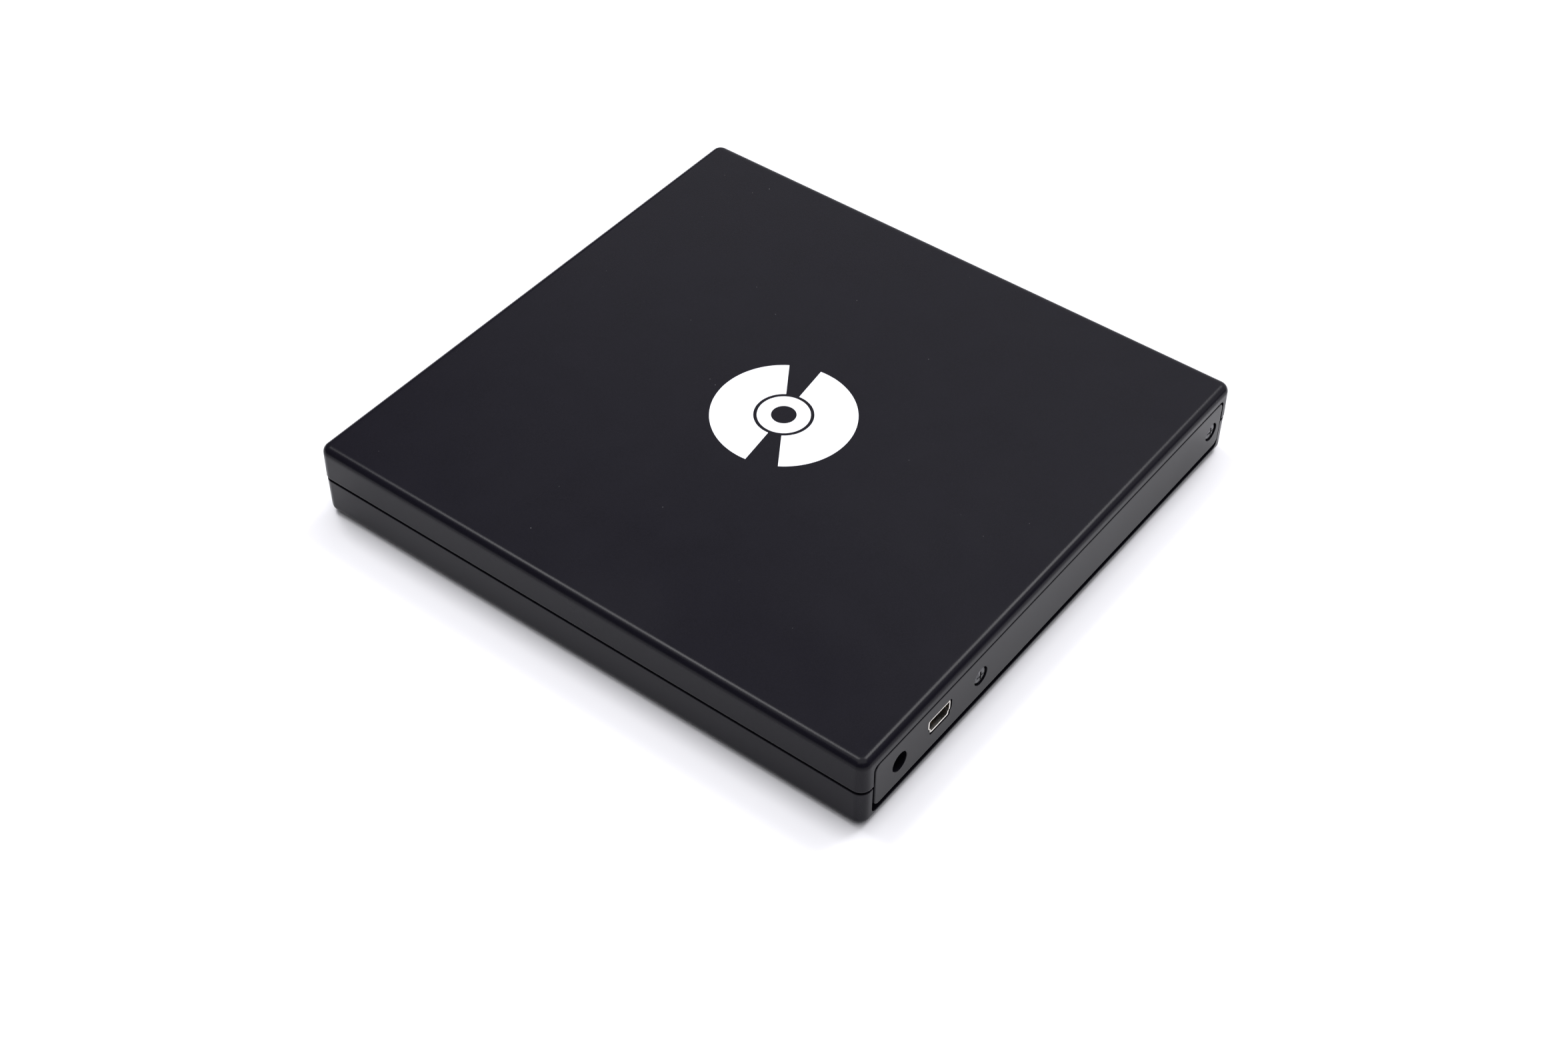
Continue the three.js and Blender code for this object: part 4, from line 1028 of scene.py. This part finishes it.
cap_high = np.array([button_high[0], button_low[1] + CAP_DEPTH, button_high[2]])
button = surface("eject_key", rimmed(button_low, cap_high, 0.5, 0.35))
stem_x, _, stem_z = (button_low + button_high) / 2
stem_low = (stem_x - STEM_HALF, cap_high[1] - 0.4, stem_z - STEM_HALF)
stem_high = (stem_x + STEM_HALF, button_high[1], stem_z + STEM_HALF)
stem = surface("stem", block(stem_low, stem_high, 0.2, 0.15, wall=True))
dress(carve(button, [stem], "UNION"), bezel_plastic, "eject_button")
light = surface("light_pipe", block(light_low, light_high, 0.25, 0.12, wall=True))
dress(light, light_plastic, "activity_light")

# %% [markdown]
# ## Spindle
# The disc sits on a metal rotor with a rubber ring, and three sprung claws hold it. All of it
# turns about one upright axis in the middle of the tray's well. The pickup travels at 45 degrees
# to the case. Turning finished objects would move their origins, so a helper turns and shifts the
# points themselves before they become a mesh.

# %% Spindle
WELL_Y = -10.0
TRAVERSE_TURN = -TURN / 8
SHAFT_R, ROTOR_R, NECK_R, SEAT_R, BOSS_R = 1.2, 12.5, 11, 15.5, 7.4
SHAFT_BOTTOM, ROTOR_Z, SEAT_Z, BOSS_TOP = 6.5, (7.3, 11.4), (12.2, 13.0), 15.4
PAD_R, PAD_Z = (10.5, 15), (13.02, 13.3)
CLAW_HALF, SLOT_HALF = 1.5, 1.8
PLATE_R, PLATE_Z = (1.6, 14), (6.35, 6.95)


def on_traverse(rings, turn=0.0):
    """Turns points about Z by the traverse's angle plus turn, then moves them to the spindle."""
    spin = np.array(Matrix.Rotation(TRAVERSE_TURN + turn, 3, "Z"))
    return np.asarray(rings) @ spin.T + (0, WELL_Y, 0)


def make_turntable():
    """Half section of shaft, rotor can, neck, seat, and a centring boss with a rounded shoulder
    and a shallow dimple on top; then three slots for the claws."""
    (can_low, can_high), (seat_low, seat_high) = ROTOR_Z, SEAT_Z
    profile = [(0, SHAFT_BOTTOM), (SHAFT_R - 0.1, SHAFT_BOTTOM), (SHAFT_R, SHAFT_BOTTOM + 0.1)]
    profile += [(SHAFT_R, can_low), (ROTOR_R - 0.3, can_low)]
    profile += arc((ROTOR_R - 0.3, can_low + 0.3), 0.3, 270, 360, 4)
    profile += arc((ROTOR_R - 0.5, can_high - 0.5), 0.5, 0, 90, 5)
    profile += [(NECK_R, can_high), (NECK_R, seat_low), (SEAT_R - 0.2, seat_low)]
    profile += arc((SEAT_R - 0.2, seat_low + 0.2), 0.2, 270, 360, 3)
    profile += arc((SEAT_R - 0.3, seat_high - 0.3), 0.3, 0, 90, 4)
    profile += [(BOSS_R + 0.1, seat_high), (BOSS_R, seat_high + 0.1), (BOSS_R, BOSS_TOP - 0.7)]
    profile += arc((BOSS_R - 0.7, BOSS_TOP - 0.7), 0.7, 0, 90, 6)
    profile += [(3.0, BOSS_TOP), (2.6, BOSS_TOP - 0.2), (1.6, BOSS_TOP - 0.2), (0, BOSS_TOP - 0.2)]
    table = surface("spindle_rotor", on_traverse(spun(profile, sides=96)), "pole")
    slot = block((3.6, -SLOT_HALF, 13.4), (9, SLOT_HALF, 14.9), 0.2, 0.15)
    slots = [surface("slot", on_traverse(slot, i * TURN / 3)) for i in range(3)]
    return carve(table, slots)


def make_claw(index):
    """A nosed tooth: an eased outline in X and Z carried across the slot. Its first and last
    rings are a little shorter along X, which breaks the edge."""
    outline = eased([(5, 13.7), (7.5, 13.7), (7.9, 14.1), (7.5, 14.6), (5, 14.6)], 0.15)
    inner = CLAW_HALF - 0.05
    rings = walled(outline, (-CLAW_HALF, -inner, inner, CLAW_HALF))
    rings[[0, 3]] = rings[[0, 3]] * (0.995, 1, 1) + (0.03, 0, 0)
    return surface(f"disc_tooth_{index}", on_traverse(rings, (index - 1) * TURN / 3))


def make_grip_ring():
    """Section of the rubber ring, with both upper corners rounded, spun into a closed loop."""
    (inner, outer), (low, high) = PAD_R, PAD_Z
    section = [(inner, low), (inner, high - 0.08)] + arc((inner + 0.1, high - 0.1), 0.1, 180, 90, 3)
    section += arc((outer - 0.1, high - 0.1), 0.1, 90, 0, 3) + [(outer, low)]
    return surface("grip_ring", on_traverse(spun(section, sides=96)), "loop")


def make_spindle_plate():
    """Section of the round base plate with one broken edge, spun into a closed loop."""
    (inner, outer), (low, high) = PLATE_R, PLATE_Z
    section = [(inner, low), (inner, high), (outer - 0.1, high), (outer, high - 0.1), (outer, low)]
    return surface("spindle_plate", on_traverse(spun(section, sides=96)), "loop")


dress(make_turntable(), cast_metal, "turntable")
dress(make_grip_ring(), rubber, "turntable_pad")
for i in (1, 2, 3):
    dress(make_claw(i), acetal, f"disc_claw_{i}")
dress(make_spindle_plate(), sheet_steel, "spindle_base")

# %% [markdown]
# ## Pickup
# The lens is a small dome held in a frame over the sled. A scaled sphere would be too steep at its
# rim, so the dome's height follows the one circle through rim and crown. The sled runs on two
# polished rods and is driven by a screw whose radius is a helix: core plus a ridge of the phase
# x / pitch - angle / turn.

# %% Lens, rods and screw
LENS_X, LENS_R = 22.5, 2.0
LENS_BOTTOM, LENS_EDGE, LENS_CROWN = 10.8, 11.7, 12.32
CARRIER_HALF_X, CARRIER_HALF_Y, CARRIER_Z = 3.8, 5.4, (10.1, 11.5)
ROD_Y, ROD_Z, ROD_R, ROD_ENDS = (10.5, -7.5), 8.0, 0.8, (13.1, 65.7)
FEED_Y, FEED_R, FEED_PITCH, FEED_ENDS = -12.0, 1.0, 3.0, (13.1, 60.2)
MOTOR_R, MOTOR_ENDS = 2.1, (60.5, 66.2)


def make_lens():
    """Straight rim, then a cap of the sphere through the rim and the crown."""
    rise = LENS_CROWN - LENS_EDGE
    sphere = (LENS_R ** 2 + rise ** 2) / (2 * rise)
    r = np.linspace(LENS_R, 0, 15)
    dome = LENS_CROWN - sphere + np.sqrt(sphere ** 2 - r ** 2)
    profile = [(0, LENS_BOTTOM), (LENS_R, LENS_BOTTOM)] + list(zip(r, dome))
    return surface("lens_dome", on_traverse(spun(profile, (LENS_X, 0, 0), sides=48)), "pole")


def make_lens_frame():
    """A rounded block with a chamfered round hole that the lens drops into."""
    low, high = CARRIER_Z
    corner_low = (LENS_X - CARRIER_HALF_X, -CARRIER_HALF_Y, low)
    corner_high = (LENS_X + CARRIER_HALF_X, CARRIER_HALF_Y, high)
    carrier = surface("lens_carrier", on_traverse(block(corner_low, corner_high, 0.8, 0.25)))
    bore, flare = LENS_R + 0.15, LENS_R + 0.4
    mouth = [(0, low - 1.1), (bore, low - 1.1), (bore, high - 0.15), (flare, high + 0.1)]
    mouth += [(flare, high + 1.5), (0, high + 1.5)]
    hole = surface("hole", on_traverse(spun(mouth, (LENS_X, 0, 0), sides=48)), "pole")
    return carve(carrier, [hole])


def guide_rod(name, y):
    """A polished bar with chamfered ends, spun about X."""
    low, high = ROD_ENDS
    profile = [(0, low), (ROD_R - 0.2, low), (ROD_R, low + 0.2), (ROD_R, high - 0.2)]
    profile += [(ROD_R - 0.2, high), (0, high)]
    return surface(name, on_traverse(spun(profile, (0, y, ROD_Z), "X", 32)), "pole")


def make_lead_screw():
    """A core with a thread between its plain ends; a ring every 0.25 mm carries the helix."""
    low, high = FEED_ENDS
    core = FEED_R * 0.8
    start, end = low + 2.4, high - 1.5
    steps = np.arange(start - 0.3, end + 0.3, 0.25)
    profile = [(0, low), (core, low + 0.02)] + [(core, x) for x in steps] + [(core, high), (0, high)]
    thread = (FEED_R - core, FEED_PITCH, start, end)
    rings = spun(profile, (0, FEED_Y, ROD_Z), "X", 24, thread)
    return surface("feed_screw", on_traverse(rings), "pole")


def make_feed_motor():
    """A drawn can with rounded ends and a short boss."""
    low, high = MOTOR_ENDS
    round_end = 0.4
    profile = [(0, low)] + arc((MOTOR_R - round_end, low + round_end), round_end, 270, 360, 4)
    profile += arc((MOTOR_R - round_end, high - round_end), round_end, 0, 90, 4)
    profile += [(0.8, high), (0.8, high + 0.2), (0.7, high + 0.3), (0, high + 0.3)]
    return surface("feed_can", on_traverse(spun(profile, (0, FEED_Y, ROD_Z), "X", 48)), "pole")


dress(make_lens(), lens_glass, "objective_lens")
dress(make_lens_frame(), inner_plastic, "lens_frame")
dress(guide_rod("outer_rod", ROD_Y[0]), nickel, "outer_guide_rod")
dress(guide_rod("inner_rod", ROD_Y[1]), nickel, "inner_guide_rod")
dress(make_lead_screw(), nickel, "lead_screw")
dress(make_feed_motor(), can_metal, "feed_motor")

# %% [markdown]
# ## Small parts
# The capacitors are drawn cans with a rolled neck near the foot. The kick spring is a round wire
# along a helix. A bevelled curve would do, but its ends stay open: here the circle of the wire's
# section is carried along the curve, at right angles to it, and both ends are closed.

# %% Capacitors, crystal and spring
SPRING_WIRE, SPRING_TURNS = 0.17, 5


def make_capacitor(index):
    """Half section: foot, rolled neck, straight wall, rounded shoulder and a sunken top."""
    low, high = span(f"filter_capacitor_{index}")
    r = (high - low)[0] / 2
    x, y = ((low + high) / 2)[:2]
    profile = [(0, low[2]), (r - 0.1, low[2]), (r, low[2] + 0.1), (r, low[2] + 0.5)]
    profile += [(r - 0.15, low[2] + 0.65), (r, low[2] + 0.8), (r, high[2] - 0.2)]
    profile += arc((r - 0.2, high[2] - 0.2), 0.2, 0, 90, 4)[1:] + [(r - 0.35, high[2] - 0.06)]
    profile += [(0, high[2] - 0.06)]
    return surface(f"capacitor_can_{index}", spun(profile, (x, y, 0), sides=40), "pole")


def make_spring():
    """Centre line c(t) = radius (cos a, sin a) with a = turns t, rising along Y; the wire's
    circle uses the outward direction and the cross product of it with the tangent."""
    low, high = span("kick_spring")
    middle = (low + high) / 2
    radius = (high - low)[0] / 2 - SPRING_WIRE
    t = np.linspace(0, 1, 161)[:, None]
    a = SPRING_TURNS * TURN * t
    length = (high - low)[1] - 2 * SPRING_WIRE
    centre = np.concatenate([radius * np.cos(a), t * length, radius * np.sin(a)], axis=1)
    centre += (middle[0], low[1] + SPRING_WIRE, middle[2])
    outward = np.concatenate([np.cos(a), 0 * a, np.sin(a)], axis=1)
    tangent = np.gradient(centre, axis=0)
    tangent /= np.linalg.norm(tangent, axis=1, keepdims=True)
    side = np.cross(tangent, outward)
    b = np.arange(10) / 10 * TURN
    ring = outward[:, None] * np.cos(b)[None, :, None] + side[:, None] * np.sin(b)[None, :, None]
    return surface("kick_coil", centre[:, None] + SPRING_WIRE * ring)


for i in (1, 2):
    dress(make_capacitor(i), can_metal, f"filter_capacitor_{i}")
crystal = surface("crystal_case", block(*span("crystal_can"), 1.1, 0.3))
dress(crystal, nickel, "crystal_can")
dress(make_spring(), wire_steel, "kick_spring")

# %% [markdown]
# ## Finishes of the pieces that stay as they are
# The remaining CAD nodes are pressed sheet, boards, chips and rails with flat faces and crisp
# edges, which is how the real ones look. Remaking them would add nothing, so they only change
# material.

# %% Finishes of the carried-over pieces
KEPT = {
    sheet_steel: ["drive_pan", "drive_lid", "tray_shield", "traverse_frame", "latch_solenoid",
                  "kick_plunger", "left_rail", "right_rail"],
    screw_steel: ["lid_screw_1", "lid_screw_2"],
    inner_plastic: ["left_rail_guide", "right_rail_guide", "kick_housing", "latch_lever",
                    "drive_connector", "board_connector"],
    board: ["main_board", "adapter_board", "front_board"],
    chip: ["main_processor", "servo_chip", "bridge_chip", "button_switch"],
    ribbon: ["flex_cable"],
    cast_metal: ["pickup_sled"],
    tray_plastic: ["disc_tray"],
}
for finish, nodes in KEPT.items():
    for node in nodes:
        piece = frame["nodes"][node]
        piece.data.materials.clear()
        piece.data.materials.append(finish)
print("carried-over pieces:", sum(len(nodes) for nodes in KEPT.values()))

# %% [markdown]
# ## Floor and light
# White paper under a large soft overhead light gives the object a bright even surround and a
# narrow contact shadow. Two smaller lights draw the bright lines along the rounded edges, and a
# wide one stands where the lid mirrors it. The room itself stays dim, because the lid mirrors that
# too: a bright room would turn the black lid grey.

# %% Floor and light
FLOOR_HALF = 6.0


def make_floor():
    """One large square, FLOOR_HALF metres each way from the middle, at the height of the soles."""
    corners = [(x, y, 0) for y in (-FLOOR_HALF, FLOOR_HALF) for x in (-FLOOR_HALF, FLOOR_HALF)]
    mesh = bpy.data.meshes.new("floor")
    mesh.from_pydata(corners, [], [(0, 1, 3, 2)])
    made = bpy.data.objects.new("floor", mesh)
    bpy.context.scene.collection.objects.link(made)
    paper = Finish("floor_paper", (0.87, 0.865, 0.905), 0.9, Specular_IOR_Level=0.1)
    made.data.materials.append(paper.material)
    return made


def soft_light(name, place, size, power):
    """A rectangular white light at a place, size metres along its two sides, aimed at the drive."""
    made = bpy.data.objects.new(name, bpy.data.lights.new(name, "AREA"))
    bpy.context.scene.collection.objects.link(made)
    made.data.shape = "RECTANGLE"
    made.data.size, made.data.size_y = size
    made.data.energy = power
    made.location = place
    made.rotation_euler = (-Vector(place)).to_track_quat("-Z", "Y").to_euler()


make_floor()
soft_light("overhead spread", (0.10, 0.10, 1.5), (2.1, 2.1), 25.0)
soft_light("long edge strip", (-0.06, -0.64, 1.35), (0.5, 0.5), 10.5)
soft_light("panel edge strip", (-0.90, 0.17, 1.35), (0.6, 0.6), 12.5)
soft_light("side wall", (-1.4, 0, 0.8), (2.8, 1.5), 12.0)
bpy.context.scene.world = bpy.data.worlds.new("studio")
bpy.context.scene.world.use_nodes = True
room = bpy.context.scene.world.node_tree.nodes["Background"]
room.inputs["Color"].default_value = (0.92, 0.94, 1.0, 1)
room.inputs["Strength"].default_value = 0.05
bpy.context.scene.view_settings.view_transform = "Standard"
